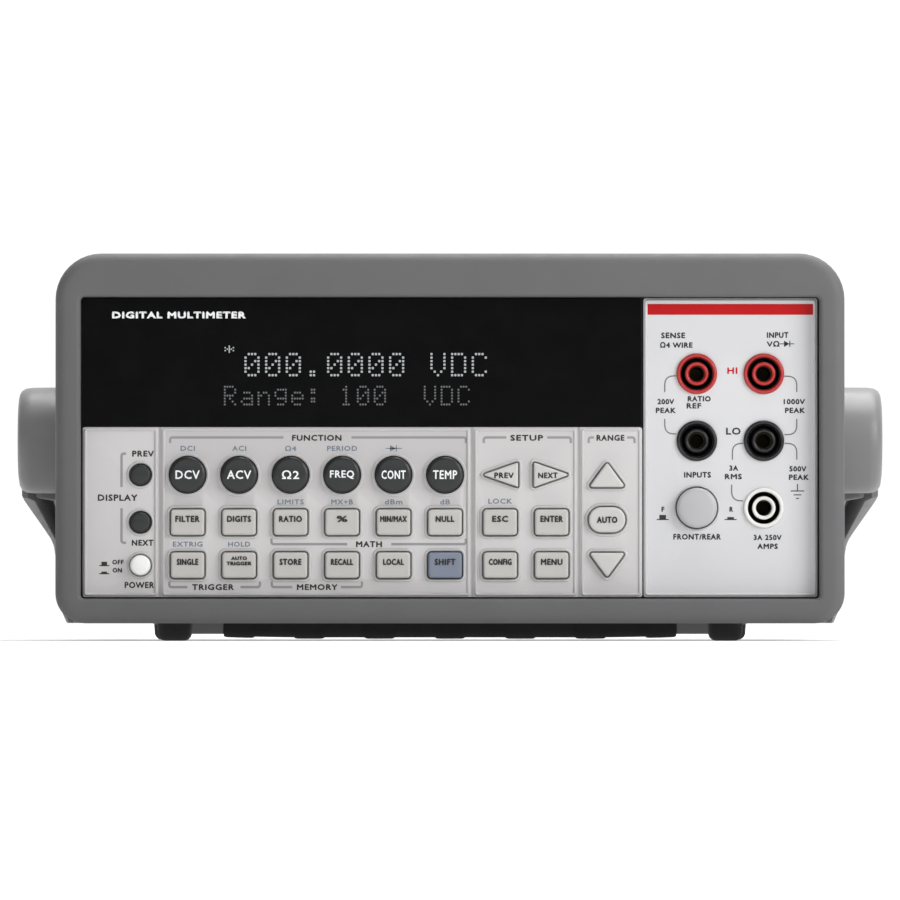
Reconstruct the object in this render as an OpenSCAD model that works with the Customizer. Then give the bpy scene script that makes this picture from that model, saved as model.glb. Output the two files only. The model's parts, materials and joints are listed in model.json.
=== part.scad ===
// Bench multimeter: a half-rack, two-unit-high instrument with rubber bumpers
// and a swinging carrying handle. Every separate piece is its own module.
// Frame: millimetres, +Z up, front panel facing -Y, +X to the right of a person
// who looks at the front. The origin lies on the bench under the body's middle.

/* [Case] */
// Width of the metal case
case_w = 213.6; // [212:0.2:215]
// Height of the metal case
case_h = 88.6; // [88:0.2:89.4]
// Height of the case's underside above the bench
case_lift = 10.5; // [10:0.1:11]
// Length over both bumpers
body_d = 305; // [300:1:320]
// Thickness of the case cover's sheet
cover_t = 1; // [0.8:0.1:1.2]

/* [Bumpers] */
// Width over the bumpers
bumper_w = 224; // [222:0.5:226]
// Height of the bumper's lower edge above the bench
bumper_low = 5; // [4:0.5:6]
// Height of the bumper's upper edge above the bench
bumper_high = 110; // [108:0.5:112]
// Length of the front bumper
front_bumper_d = 44; // [40:1:46]
// Length of the rear bumper
rear_bumper_d = 32; // [28:1:36]
// Corner radius of the bumpers at the bottom
bumper_r_low = 8.5; // [7:0.5:10]
// Corner radius of the bumpers at the top
bumper_r_high = 13; // [10:0.5:14]

/* [Keys] */
// Spacing of the key columns
key_pitch = 14.62; // [14.4:0.01:14.8]
// Diameter of the round function keys
round_key_d = 10.3; // [9.8:0.1:10.6]
// Width of the rectangular keys
rect_key_w = 9.5; // [9:0.1:9.8]
// Height of the rectangular keys
rect_key_h = 7.3; // [7:0.1:7.6]
// Diameter of the small round buttons
small_key_d = 5.8; // [5.4:0.1:6.2]
// Diameter of the front and rear input selector button
selector_d = 11.4; // [11:0.1:11.6]
// How far a key can be pressed
key_travel = 1; // [0.8:0.1:1.1]
// How far a push-push button can be pressed
push_travel = 3; // [2:0.5:3]
// Gap around a key in its panel
key_gap = 0.3; // [0.25:0.05:0.4]

/* [Terminals] */
// Spacing of the banana sockets
jack_pitch = 19.05; // [19:0.05:19.1]
// Outer diameter of a socket's insulator
jack_d = 11.5; // [11.2:0.1:11.7]
// Bore of a socket's contact
contact_bore_d = 4; // [4:0.05:4.1]

/* [Handle] */
// Height of the handle's axis above the bench
hub_z = 58.5; // [58:0.1:59]
// Distance of the handle's axis behind the front of the body
hub_setback = 95; // [93:0.5:96]
// Diameter of the hubs
hub_d = 31; // [30:0.5:32]
// Width over the hubs
hub_w = 252.6; // [250:0.2:254]
// Diameter of the pivots that the hubs turn on
pivot_d = 19; // [18:0.5:20]
// Length of the rubber grip
grip_l = 138; // [130:1:142]
// Number of raised bands on the grip
grip_bands = 7; // [5:1:7]

/* [Hidden] */
$fn = 64;

// Planes along the depth
front_y = -body_d / 2;
back_y = body_d / 2;
panel_y = front_y + 5.5;
panel_t = 2.5;
panel_back_y = panel_y + panel_t;
board_y = front_y + 15;
board_t = 1.6;
switch_depth = 3.4;
rear_panel_y = back_y - 13.5;
rear_panel_t = 1.5;
cover_front_y = front_y + 40;
cover_back_y = rear_panel_y - 0.2;

// Case section
case_x = case_w / 2;
case_low = case_lift;
case_high = case_lift + case_h;
case_r = 3;
fit_gap = 0.1;

// Openings and panels of the front, as left, bottom, right and top edges
bezel = [-104.8, 12, 104.8, 97.6];
window_rect = [-104.3, 61, 54.2, 97.3];
keypad_rect = [-104.3, 12.5, 54.6, 60.7];
terminal_rect = [55, 12.5, 104.3, 97.3];
ledge_w = 2.6;

// Key places
function_x = [for (i = [0:5]) -74.5 + i * key_pitch];
setup_x = [for (i = [0:1]) 14.25 + i * key_pitch];
range_x = 44.6;
display_x = -87.9;
row_z = [47.2, 33.7, 21.5];
range_auto_z = 34.4;
key_high = 2;
round_key_high = 2.4;
flange_w = 0.8;
flange_t = 1;
stem_d = 3;
stem_end_y = board_y - switch_depth - key_travel - 0.2;
range_arrow = [10.4, 7.1];
setup_arrow = [7.1, 10.2];
auto_key_h = 7.2;

// Terminal places
jack_x = [70.1, 70.1 + jack_pitch];
jack_z = [75.9, 75.9 - jack_pitch, 75.9 - 2 * jack_pitch];
rear_jack_y = rear_panel_y + rear_panel_t;
jack_l = 28;
jack_rim = 1;
jack_wall = 1.2;
jack_core_d = 6.6;
contact_d = 5.2;
contact_l = 20;
contact_setback = 3.2;
jack_collar_wall = 1.4;
jack_collar_l = 3.5;

// Rear connector places
inlet_x = -80;
inlet_z = 62;
inlet_w = 28;
inlet_h = 40;
drawer_w = 21;
drawer_h = 8;
drawer_z = inlet_z - 13.5;
bnc_x = 42;
bnc_z = [76, 50];
bnc_d = 9.6;
usb_at = [12, 34];
ribbon_at = [0, 70];
fuse_cap_d = 12;

// Handle, drawn as it lies folded back under the case
hub_y = front_y + hub_setback;
hub_x_in = case_x + 0.3;
hub_x_out = hub_w / 2;
arm_x_in = bumper_w / 2 + 0.6;
arm_t = 4.8;
arm_x_out = arm_x_in + arm_t;
arm_x_end = arm_x_out - 3.4;
bar_z = [0.7, 9.3];
bar_shoulder_z = 1.75;
bar_end_z = 5.1;
bar_rise_x = [80, 91];
bar_y = [73, 95];
core_y = [77, 91];
core_z = [2.9, 7.3];
corner_r = bar_y[1] - bar_y[0];
corner_x = arm_x_end - corner_r;
corner_y = bar_y[0];
elbow_y = 60;
arm_half_h = 13;
arm_lead = 4;
pivot_gap = 0.08;
pivot_x_out = 119;
grip_band_w = 9.2;
grip_band_pitch = (grip_l - grip_band_w) / (grip_bands - 1);
grip_band_t = 0.4;

// Feet
foot_x = [79.5, 86];
foot_w = 10;
foot_l = 22;
foot_y = [front_y + 58, back_y - rear_bumper_d - 12];
foot_r = 3;

// ---------------------------------------------------------------- helpers

// Rectangle from (x0, z0) to (x1, z1) with one radius below and one above
module round_rect(x0, z0, x1, z1, r_low, r_high) {
    translate([x0, z0 + r_low])
        square([x1 - x0, z1 - z0 - r_low - r_high]);
    translate([x0 + r_low, z0])
        square([x1 - x0 - 2 * r_low, r_low]);
    translate([x0 + r_high, z1 - r_high])
        square([x1 - x0 - 2 * r_high, r_high]);
    for (x = [x0 + r_low, x1 - r_low])
        translate([x, z0 + r_low])
            circle(r_low);
    for (x = [x0 + r_high, x1 - r_high])
        translate([x, z1 - r_high])
            circle(r_high);
}

// The same from a list of left, bottom, right and top edges, grown by "grow"
module edge_rect(e, grow = 0, r = 1) {
    round_rect(e[0] - grow, e[1] - grow, e[2] + grow, e[3] + grow, r, r);
}

// Extrudes a drawing of the X-Z plane from depth y0 to depth y1
module slab(y0, y1) {
    translate([0, y1, 0])
        rotate([90, 0, 0])
            linear_extrude(y1 - y0)
                children();
}

// Round bar along Y at (x, z)
module rod_y(x, z, d, y0, y1) {
    translate([x, y0, z])
        rotate([-90, 0, 0])
            cylinder(d = d, h = y1 - y0);
}

// Round bar along X at (y, z)
module rod_x(y, z, d, x0, x1) {
    translate([x0, y, z])
        rotate([0, 90, 0])
            cylinder(d = d, h = x1 - x0);
}

// Box between two corners
module block(low, high) {
    translate(low)
        cube(high - low);
}

// Makes a copy mirrored to the other side of the body
module both_sides() {
    children();
    mirror([1, 0, 0])
        children();
}

// ---------------------------------------------------------------- case

module case_section(shrink = 0) {
    round_rect(-case_x + shrink, case_low + shrink, case_x - shrink, case_high - shrink,
        case_r - shrink, case_r - shrink);
}

module case_cover() {
    vent_w = 2.4;
    color([0.62, 0.62, 0.63])
        difference() {
            slab(cover_front_y, cover_back_y)
                case_section();
            slab(cover_front_y - 1, cover_back_y + 1)
                case_section(cover_t);
            rod_x(hub_y, hub_z, pivot_d + 0.4, -case_x - 1, case_x + 1);
            // Cooling slots in the cover's sides, behind the handle's hubs
            for (i = [0:9])
                block([-case_x - 1, 40 + i * 6, 30], [case_x + 1, 40 + i * 6 + vent_w, 58]);
        }
}

module chassis() {
    sheet = 1.2;
    tray_x = case_x - cover_t - 1.3;
    floor_z = case_low + cover_t + 0.2;
    wall_top = floor_z + 26;
    ear_top = floor_z + 70;
    standoff_z = 17;
    color([0.72, 0.73, 0.75]) {
        difference() {
            union() {
                block([-tray_x, cover_front_y + 1, floor_z], [tray_x, cover_back_y - 1, floor_z + sheet]);
                both_sides() {
                    block([tray_x - sheet, cover_front_y + 1, floor_z],
                        [tray_x, cover_back_y - 1, wall_top]);
                    block([tray_x - sheet, hub_y - 20, floor_z], [tray_x, hub_y + 20, ear_top]);
                }
                for (x = [-90, 90], y = [-100, 50])
                    translate([x, y, floor_z])
                        cylinder(d = 6, h = standoff_z - floor_z);
            }
            rod_x(hub_y, hub_z, 6, -case_x, case_x);
        }
    }
}

module front_frame() {
    wall = 2;
    ledge_y = [panel_back_y + fit_gap, panel_back_y + 2.1];
    color([0.3, 0.3, 0.31])
        difference() {
            slab(front_y + 3.6, cover_front_y - 0.5)
                case_section();
            // Space in front of the ledge, where the panels sit
            slab(front_y, ledge_y[0])
                edge_rect(bezel);
            // Three openings through the ledge, with bars between them
            slab(ledge_y[0] - 1, ledge_y[1])
                edge_rect(window_rect, -ledge_w);
            slab(ledge_y[0] - 1, ledge_y[1])
                edge_rect([keypad_rect[0] + ledge_w, keypad_rect[1] + ledge_w,
                    keypad_rect[2] - 1.2, keypad_rect[3] - 1.2]);
            slab(ledge_y[0] - 1, ledge_y[1])
                edge_rect([terminal_rect[0] + 1.2, terminal_rect[1] + ledge_w,
                    terminal_rect[2] - ledge_w, terminal_rect[3] - ledge_w]);
            slab(ledge_y[1] - 0.1, cover_front_y)
                case_section(wall);
        }
}

// A rubber ring that closes over one end of the case
module bumper(y_open, y_end, lip) {
    outward = y_end > y_open ? 1 : -1;
    y_lip = y_end - outward * 3.5;
    difference() {
        slab(min(y_open, y_end), max(y_open, y_end))
            round_rect(-bumper_w / 2, bumper_low, bumper_w / 2, bumper_high,
                bumper_r_low, bumper_r_high);
        slab(min(y_open, y_lip) - (outward > 0 ? 1 : 0), max(y_open, y_lip) + (outward > 0 ? 0 : 1))
            case_section(-fit_gap);
        slab(min(y_lip, y_end) - 1, max(y_lip, y_end) + 1)
            edge_rect(lip);
    }
}

module front_bumper() {
    color([0.4, 0.4, 0.41])
        bumper(front_y + front_bumper_d, front_y, bezel);
}

module rear_bumper() {
    color([0.4, 0.4, 0.41])
        bumper(back_y - rear_bumper_d, back_y, bezel);
}

module feet() {
    color([0.12, 0.12, 0.12])
        for (side = [-1, 1], i = [0, 1])
            slab(foot_y[i] - foot_l / 2, foot_y[i] + foot_l / 2)
                round_rect(side * foot_x[i] - foot_w / 2, 0, side * foot_x[i] + foot_w / 2, case_low,
                    foot_r, 0.01);
}

module case_screws() {
    head_d = 6;
    head_t = 1.6;
    color([0.75, 0.75, 0.77]) {
        // Two screws hold the rear panel, one on each side
        for (x = [-98, 98])
            rod_y(x, 20, head_d, rear_jack_y, rear_jack_y + head_t);
        // The earth stud beside the mains inlet
        rod_y(-54, 44, 4, rear_jack_y, rear_jack_y + 7);
        // Pivot screws, driven outwards through the chassis ears into the pivots
        both_sides()
            rod_x(hub_y, hub_z, 8, case_x - cover_t - 4.2, case_x - cover_t - 2.6);
    }
}

// ---------------------------------------------------------------- keypad

// Drawings of the key outlines, centred on (0, 0); "grow" widens them all round

module round_outline(d, grow = 0) {
    circle(d / 2 + grow);
}

module rect_outline(w, h, grow = 0) {
    round_rect(-w / 2 - grow, -h / 2 - grow, w / 2 + grow, h / 2 + grow, 0.8, 0.8);
}

module racetrack_outline(grow = 0) {
    r = auto_key_h / 2 + grow;
    half = (range_arrow[0] - auto_key_h) / 2;
    translate([-half, -r])
        square([2 * half, 2 * r]);
    for (x = [-half, half])
        translate([x, 0])
            circle(r);
}

// Triangle with its point upwards, "size" wide and high; its three sides move out by "grow"
module triangle_outline(size, grow = 0) {
    w = size[0];
    h = size[1];
    slope = atan2(h, w / 2);
    base_grow = grow / tan(slope / 2);
    tip_grow = grow / cos(slope);
    polygon([
        [-w / 2 - base_grow, -h / 2 - grow],
        [w / 2 + base_grow, -h / 2 - grow],
        [0, h / 2 + tip_grow]
    ]);
}

// One key: a cap, a retaining flange behind the panel and a stem.
// Its children draw the outline: the first for the cap, the second for the flange.
module key(x, z, high, stem_end = stem_end_y) {
    translate([x, 0, z]) {
        slab(panel_y - high, panel_back_y + 0.2)
            children(0);
        slab(panel_back_y + 0.1, panel_back_y + 0.1 + flange_t)
            children(1);
        rod_y(0, 0, stem_d, panel_back_y, stem_end);
    }
}

// A round key with a shallow crown
module domed_key(x, z, d, high, stem_end = stem_end_y) {
    crown = 0.1 * d;
    translate([x, 0, z]) {
        translate([0, panel_y - high, 0])
            rotate([-90, 0, 0])
                rotate_extrude()
                    polygon([
                        [0, 0], [0.2 * d, 0.1 * crown], [0.38 * d, 0.45 * crown], [0.5 * d, crown],
                        [0.5 * d, high + panel_t + 0.2], [0, high + panel_t + 0.2]
                    ]);
        rod_y(0, 0, d + 2 * flange_w, panel_back_y + 0.1, panel_back_y + 0.1 + flange_t);
        rod_y(0, 0, stem_d, panel_back_y, stem_end);
    }
}

module function_key(column) {
    color([0.28, 0.29, 0.31])
        domed_key(function_x[column], row_z[0], round_key_d, round_key_high);
}

module rect_key(x, row, shade = [0.83, 0.82, 0.8]) {
    color(shade)
        key(x, row_z[row], key_high) {
            rect_outline(rect_key_w, rect_key_h);
            rect_outline(rect_key_w, rect_key_h, flange_w);
        }
}

// Arrow key; "turn" points it: 0 up, 90 left, 180 down, 270 right
module arrow_key(x, z, size, turn) {
    color([0.88, 0.87, 0.86])
        key(x, z, key_high) {
            rotate(turn)
                triangle_outline(size);
            rotate(turn)
                triangle_outline(size, flange_w);
        }
}

module range_auto_key() {
    color([0.88, 0.87, 0.86])
        key(range_x, range_auto_z, key_high) {
            racetrack_outline();
            racetrack_outline(flange_w);
        }
}

module display_key(row) {
    color([0.28, 0.29, 0.31])
        domed_key(display_x, row_z[row], small_key_d, 1.8);
}

module power_button() {
    color([0.93, 0.93, 0.91])
        domed_key(display_x, row_z[2], small_key_d, push_travel + 0.6, board_y - 1);
}

module power_switch_rod() {
    color([0.86, 0.86, 0.84])
        block([display_x - 2, board_y - 1, row_z[2] - 2], [display_x + 2, 38, row_z[2] + 2]);
}

module input_selector_button() {
    color([0.72, 0.72, 0.73])
        domed_key(jack_x[0], jack_z[2], selector_d, push_travel + 0.6, board_y - 1);
}

module input_selector_rod() {
    color([0.86, 0.86, 0.84])
        block([jack_x[0] - 2, board_y - 1, jack_z[2] - 2], [jack_x[0] + 2, -62, jack_z[2] + 2]);
}

// Holes for every key, with the gap around it, or wider pits for the switch board
module keypad_holes() {
    for (x = function_x) {
        translate([x, row_z[0]])
            round_outline(round_key_d, key_gap);
        for (row = [1, 2])
            translate([x, row_z[row]])
                rect_outline(rect_key_w, rect_key_h, key_gap);
    }
    for (x = setup_x, row = [1, 2])
        translate([x, row_z[row]])
            rect_outline(rect_key_w, rect_key_h, key_gap);
    translate([setup_x[0], row_z[0]])
        rotate(90)
            triangle_outline(setup_arrow, key_gap);
    translate([setup_x[1], row_z[0]])
        rotate(270)
            triangle_outline(setup_arrow, key_gap);
    translate([range_x, row_z[0]])
        triangle_outline(range_arrow, key_gap);
    translate([range_x, range_auto_z])
        racetrack_outline(key_gap);
    translate([range_x, row_z[2]])
        rotate(180)
            triangle_outline(range_arrow, key_gap);
    for (z = row_z)
        translate([display_x, z])
            round_outline(small_key_d, key_gap);
}

module keypad_panel() {
    groove_x = [-82.4, 6.3, 36.6];
    groove_w = 0.8;
    groove_t = 0.6;
    lip_w = 0.7;
    lip_t = 0.4;
    color([0.78, 0.77, 0.76])
        difference() {
            union() {
                slab(panel_y, panel_back_y)
                    edge_rect(keypad_rect, 0, 0.6);
                // Raised lip around each round function key
                for (x = function_x)
                    rod_y(x, row_z[0], round_key_d + 2 * key_gap + 2 * lip_w, panel_y - lip_t, panel_y + 0.1);
            }
            slab(panel_y - 2, panel_back_y + 1)
                keypad_holes();
            // Grooves between the four groups of keys
            for (x = groove_x)
                block([x - groove_w / 2, panel_y - 1, keypad_rect[1] - 1],
                    [x + groove_w / 2, panel_y + groove_t, keypad_rect[3] + 1]);
        }
}

module key_board() {
    switch_w = 6;
    color([0.1, 0.35, 0.2])
        difference() {
            union() {
                block([-101, board_y, 16], [52, board_y + board_t, 57]);
                for (x = function_x, z = row_z)
                    block([x - switch_w / 2, board_y - switch_depth, z - switch_w / 2],
                        [x + switch_w / 2, board_y + 0.1, z + switch_w / 2]);
                for (x = setup_x, z = row_z)
                    block([x - switch_w / 2, board_y - switch_depth, z - switch_w / 2],
                        [x + switch_w / 2, board_y + 0.1, z + switch_w / 2]);
                for (z = [row_z[0], range_auto_z, row_z[2]])
                    block([range_x - switch_w / 2, board_y - switch_depth, z - switch_w / 2],
                        [range_x + switch_w / 2, board_y + 0.1, z + switch_w / 2]);
                for (z = [row_z[0], row_z[1]])
                    block([display_x - switch_w / 2, board_y - switch_depth, z - switch_w / 2],
                        [display_x + switch_w / 2, board_y + 0.1, z + switch_w / 2]);
            }
            // The power switch's rod passes through the board
            rod_y(display_x, row_z[2], 8, board_y - 5, board_y + 5);
        }
}

// ---------------------------------------------------------------- display

module display_window() {
    color([0.05, 0.05, 0.06])
        slab(panel_y, panel_back_y)
            edge_rect(window_rect, 0, 0.6);
}

module display_module() {
    glass = [-80, 66, 30, 92];
    color([0.15, 0.18, 0.17]) {
        slab(panel_back_y + 3, panel_back_y + 10)
            edge_rect(glass, 0, 0.5);
        // Driver board behind the glass
        block([-90, panel_back_y + 10, 63], [40, panel_back_y + 11.6, 94]);
    }
}

// ---------------------------------------------------------------- terminals

// Where the sockets are on a panel: [column, row] pairs for each colour
hi_jacks = [[0, 0], [1, 0]];
lo_jacks = [[0, 1], [1, 1]];
amps_jacks = [[1, 2]];

// One socket's insulator, its mouth at the origin and its body towards +Y:
// an outer wall, a floor and a core around the contact
module jack_insulator() {
    floor_t = 4;
    difference() {
        union() {
            rod_y(0, 0, jack_d, -jack_rim, jack_l);
        }
        // Space around the core, where a shrouded plug's sleeve goes
        difference() {
            rod_y(0, 0, jack_d - 2 * jack_wall, -jack_rim - 1, jack_l - floor_t);
            rod_y(0, 0, jack_core_d, -jack_rim - 2, jack_l);
        }
        // Seat of the contact, and the core's mouth in front of it
        rod_y(0, 0, contact_d, contact_setback, jack_l + 1);
        rod_y(0, 0, contact_bore_d + 0.5, -jack_rim - 1, contact_setback + 1);
    }
}

// One socket's contact: a sleeve with a solder tail
module jack_contact() {
    tail_l = 5;
    end_y = contact_setback + contact_l + 3;
    difference() {
        rod_y(0, 0, contact_d, contact_setback, end_y);
        rod_y(0, 0, contact_bore_d, contact_setback - 1, contact_setback + contact_l);
    }
    rod_y(0, 0, 1.6, end_y - 0.5, jack_l + tail_l);
}

// Places its children at each listed socket, on the front and on the rear panel
module at_jacks(places) {
    for (p = places) {
        translate([jack_x[p[0]], panel_y, jack_z[p[1]]])
            children();
        translate([jack_x[p[0]], rear_jack_y, jack_z[p[1]]])
            rotate([0, 0, 180])
                children();
    }
}

module red_terminals() {
    color([0.72, 0.14, 0.13])
        at_jacks(hi_jacks)
            jack_insulator();
}

module black_terminals() {
    color([0.08, 0.08, 0.08])
        at_jacks(lo_jacks)
            jack_insulator();
}

module current_terminals() {
    color([0.9, 0.9, 0.88])
        at_jacks(amps_jacks)
            jack_insulator();
}

module terminal_contacts() {
    color([0.85, 0.7, 0.35])
        at_jacks(concat(hi_jacks, lo_jacks, amps_jacks))
            jack_contact();
}

// Round holes for the sockets in a panel; wall makes them the outline of the collars
module jack_holes(wall = 0) {
    for (p = concat(hi_jacks, lo_jacks, amps_jacks))
        translate([jack_x[p[0]], jack_z[p[1]]])
            circle(d = jack_d + 0.1 + 2 * wall);
}

module terminal_panel() {
    collar_end = panel_back_y + jack_collar_l;
    color([0.85, 0.85, 0.86])
        difference() {
            union() {
                slab(panel_y, panel_back_y)
                    edge_rect(terminal_rect, 0, 0.6);
                // Moulded collars that hold the sockets straight
                slab(panel_back_y - 0.1, collar_end)
                    jack_holes(jack_collar_wall);
            }
            slab(panel_y - 1, collar_end + 1) {
                jack_holes();
                translate([jack_x[0], jack_z[2]])
                    circle(d = selector_d + 2 * key_gap);
            }
        }
}

// ---------------------------------------------------------------- inside

module main_board() {
    board_z = 17;
    top_z = board_z + board_t;
    color([0.1, 0.38, 0.22])
        union() {
            block([-98, -106, board_z], [98, 60, top_z]);
            // Body of the power switch, around the end of its rod
            block([display_x - 6, 38 + push_travel + 0.5, top_z - 0.1], [display_x + 6, 58, 30]);
            // Body of the input selector switch
            block([jack_x[0] - 6, -62 + push_travel + 0.5, top_z - 0.1], [jack_x[0] + 6, -30, 46]);
            // Relays, converter and reference parts
            for (x = [20, 36, 52], y = [-40, -15])
                block([x, y, top_z - 0.1], [x + 12, y + 18, 29]);
            block([-40, -70, top_z - 0.1], [-10, -40, 24]);
            block([-70, -30, top_z - 0.1], [-40, 10, 36]);
            for (x = [-20, 0], y = [10, 36])
                translate([x, y, top_z - 0.1])
                    cylinder(d = 16, h = 26);
        }
}

module transformer() {
    floor_z = case_low + cover_t + 1.4;
    low = [-72, 64, floor_z];
    high = [-16, 110, floor_z + 46];
    color([0.35, 0.33, 0.3])
        union() {
            block(low, high);
            // Winding that stands out of the core, front and back
            block([low[0] + 12, low[1] - 8, floor_z + 8], [high[0] - 12, high[1] + 8, high[2] - 8]);
        }
}

// ---------------------------------------------------------------- rear

module rear_panel() {
    vent_w = 2.6;
    collar_end = rear_panel_y - jack_collar_l;
    color([0.7, 0.7, 0.71])
        difference() {
            union() {
                slab(rear_panel_y, rear_jack_y)
                    case_section(0.1);
                // Collars drawn inwards around the sockets
                slab(collar_end, rear_panel_y + 0.1)
                    jack_holes(jack_collar_wall);
            }
            slab(collar_end - 1, rear_jack_y + 1) {
                jack_holes();
                translate([jack_x[0], jack_z[2]])
                    circle(d = fuse_cap_d + 0.4);
                for (z = bnc_z)
                    translate([bnc_x, z])
                        circle(d = bnc_d + 0.2);
                round_rect(inlet_x - inlet_w / 2, inlet_z - inlet_h / 2, inlet_x + inlet_w / 2,
                    inlet_z + inlet_h / 2, 2, 2);
                translate([usb_at[0] - 6.2, usb_at[1] - 5.7])
                    square([12.4, 11.4]);
                translate([ribbon_at[0] - 22.2, ribbon_at[1] - 5.2])
                    square([44.4, 10.4]);
                // Cooling slots between the inlet and the connectors
                for (i = [0:7])
                    translate([-50 + i * 6, 22])
                        square([vent_w, 30]);
            }
        }
}

module mains_inlet() {
    flange_front = rear_jack_y + 2;
    deep = 26;
    drawer_deep = 22;
    pin_l = 14;
    color([0.09, 0.09, 0.09]) {
        difference() {
            union() {
                // Snap-in flange outside the panel and the housing behind it
                slab(rear_jack_y, flange_front)
                    round_rect(inlet_x - inlet_w / 2 - 1.5, inlet_z - inlet_h / 2 - 1.5,
                        inlet_x + inlet_w / 2 + 1.5, inlet_z + inlet_h / 2 + 1.5, 2, 2);
                slab(rear_panel_y - deep, rear_jack_y + 0.1)
                    round_rect(inlet_x - inlet_w / 2 + 0.1, inlet_z - inlet_h / 2 + 0.1,
                        inlet_x + inlet_w / 2 - 0.1, inlet_z + inlet_h / 2 - 0.1, 2, 2);
            }
            // Socket for the mains plug
            slab(flange_front - 17, flange_front + 1)
                polygon([
                    [inlet_x - 12, inlet_z - 6], [inlet_x + 12, inlet_z - 6], [inlet_x + 12, inlet_z + 7],
                    [inlet_x + 8.5, inlet_z + 10.5], [inlet_x - 8.5, inlet_z + 10.5], [inlet_x - 12, inlet_z + 7]
                ]);
            // Pocket of the fuse drawer
            block([inlet_x - drawer_w / 2 - 0.3, flange_front - drawer_deep - 0.5, drawer_z - drawer_h / 2 - 0.3],
                [inlet_x + drawer_w / 2 + 0.3, flange_front + 1, drawer_z + drawer_h / 2 + 0.3]);
        }
        // Three flat pins
        for (p = [[-7, -1], [7, -1], [0, 3]])
            block([inlet_x + p[0] - 1, flange_front - 17.5, inlet_z + p[1] - 2],
                [inlet_x + p[0] + 1, flange_front - 17 + pin_l, inlet_z + p[1] + 2]);
    }
}

module mains_fuse_drawer() {
    flange_front = rear_jack_y + 2;
    fuse_l = 20;
    color([0.12, 0.12, 0.12])
        difference() {
            union() {
                block([inlet_x - drawer_w / 2, flange_front - 22, drawer_z - drawer_h / 2],
                    [inlet_x + drawer_w / 2, flange_front, drawer_z + drawer_h / 2]);
                // Front of the drawer with a finger ledge
                block([inlet_x - drawer_w / 2 - 1, flange_front + 0.1, drawer_z - drawer_h / 2 - 0.8],
                    [inlet_x + drawer_w / 2 + 1, flange_front + 1.6, drawer_z + drawer_h / 2 + 0.8]);
                block([inlet_x - 4, flange_front - 1, drawer_z + 1.6],
                    [inlet_x + 4, flange_front + 3.4, drawer_z + 3]);
                block([inlet_x - drawer_w / 2, flange_front - 1, drawer_z - drawer_h / 2],
                    [inlet_x + drawer_w / 2, flange_front + 0.2, drawer_z + drawer_h / 2]);
            }
            // Cradle that holds the fuse across the drawer
            translate([inlet_x - fuse_l / 2, flange_front - 12, drawer_z + 1.5])
                rotate([0, 90, 0])
                    cylinder(d = 5.4, h = fuse_l);
            block([inlet_x - fuse_l / 2, flange_front - 14.7, drawer_z + 1.5],
                [inlet_x + fuse_l / 2, flange_front - 9.3, drawer_z + drawer_h]);
        }
}

module bnc_connectors() {
    shell_l = 12;
    color([0.78, 0.78, 0.76])
        for (z = bnc_z) {
            difference() {
                union() {
                    rod_y(bnc_x, z, bnc_d, rear_panel_y - 12, rear_jack_y + shell_l);
                    // Nut and washer against the panel
                    translate([bnc_x, rear_jack_y, z])
                        rotate([-90, 0, 0])
                            cylinder(d = 14.5, h = 2.4, $fn = 6);
                    // Bayonet lugs
                    rod_x(rear_jack_y + 7, z, 2, bnc_x - bnc_d / 2 - 0.7, bnc_x + bnc_d / 2 + 0.7);
                }
                rod_y(bnc_x, z, 8.1, rear_jack_y + 3, rear_jack_y + shell_l + 1);
            }
            // Insulator and centre contact
            rod_y(bnc_x, z, 4.8, rear_jack_y + 2.9, rear_jack_y + shell_l - 2.5);
        }
}

module interface_connectors() {
    color([0.7, 0.7, 0.7]) {
        // Square computer socket
        difference() {
            block([usb_at[0] - 6, rear_panel_y - 14, usb_at[1] - 5.5],
                [usb_at[0] + 6, rear_jack_y + 0.8, usb_at[1] + 5.5]);
            block([usb_at[0] - 4.2, rear_panel_y - 8, usb_at[1] - 3.8],
                [usb_at[0] + 4.2, rear_jack_y + 2, usb_at[1] + 3.8]);
        }
        block([usb_at[0] - 2.8, rear_panel_y - 9, usb_at[1] - 1.6],
            [usb_at[0] + 2.8, rear_jack_y - 0.5, usb_at[1] + 1.6]);
        // Twenty-four-way ribbon-contact socket of the instrument bus
        difference() {
            block([ribbon_at[0] - 22, rear_panel_y - 10, ribbon_at[1] - 5],
                [ribbon_at[0] + 22, rear_jack_y + 5, ribbon_at[1] + 5]);
            block([ribbon_at[0] - 19.5, rear_jack_y - 4, ribbon_at[1] - 3.6],
                [ribbon_at[0] + 19.5, rear_jack_y + 6, ribbon_at[1] + 3.6]);
        }
        block([ribbon_at[0] - 17.5, rear_jack_y - 5, ribbon_at[1] - 1.2],
            [ribbon_at[0] + 17.5, rear_jack_y + 4, ribbon_at[1] + 1.2]);
        // Jack screws beside it
        for (side = [-1, 1])
            rod_y(ribbon_at[0] + side * 26, ribbon_at[1], 6, rear_jack_y, rear_jack_y + 5);
    }
}

module current_fuse_cap() {
    x = jack_x[0];
    z = jack_z[2];
    color([0.1, 0.1, 0.1])
        difference() {
            union() {
                rod_y(x, z, fuse_cap_d, rear_panel_y - 24, rear_jack_y + 1);
                rod_y(x, z, fuse_cap_d + 2, rear_jack_y + 0.1, rear_jack_y + 3.5);
            }
            // Screwdriver slot
            block([x - 5, rear_jack_y + 2, z - 0.6], [x + 5, rear_jack_y + 5, z + 0.6]);
        }
}

// ---------------------------------------------------------------- handle

// Side view of one arm in the Y-Z plane, from inside the hub down to the crossbar
module arm_side() {
    polygon([
        [hub_y, hub_z + arm_half_h], [corner_y + arm_lead, bar_z[1]], [corner_y + arm_lead, bar_end_z],
        [elbow_y - 15, bar_end_z], [hub_y - 2, hub_z - arm_half_h]
    ]);
}

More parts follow.
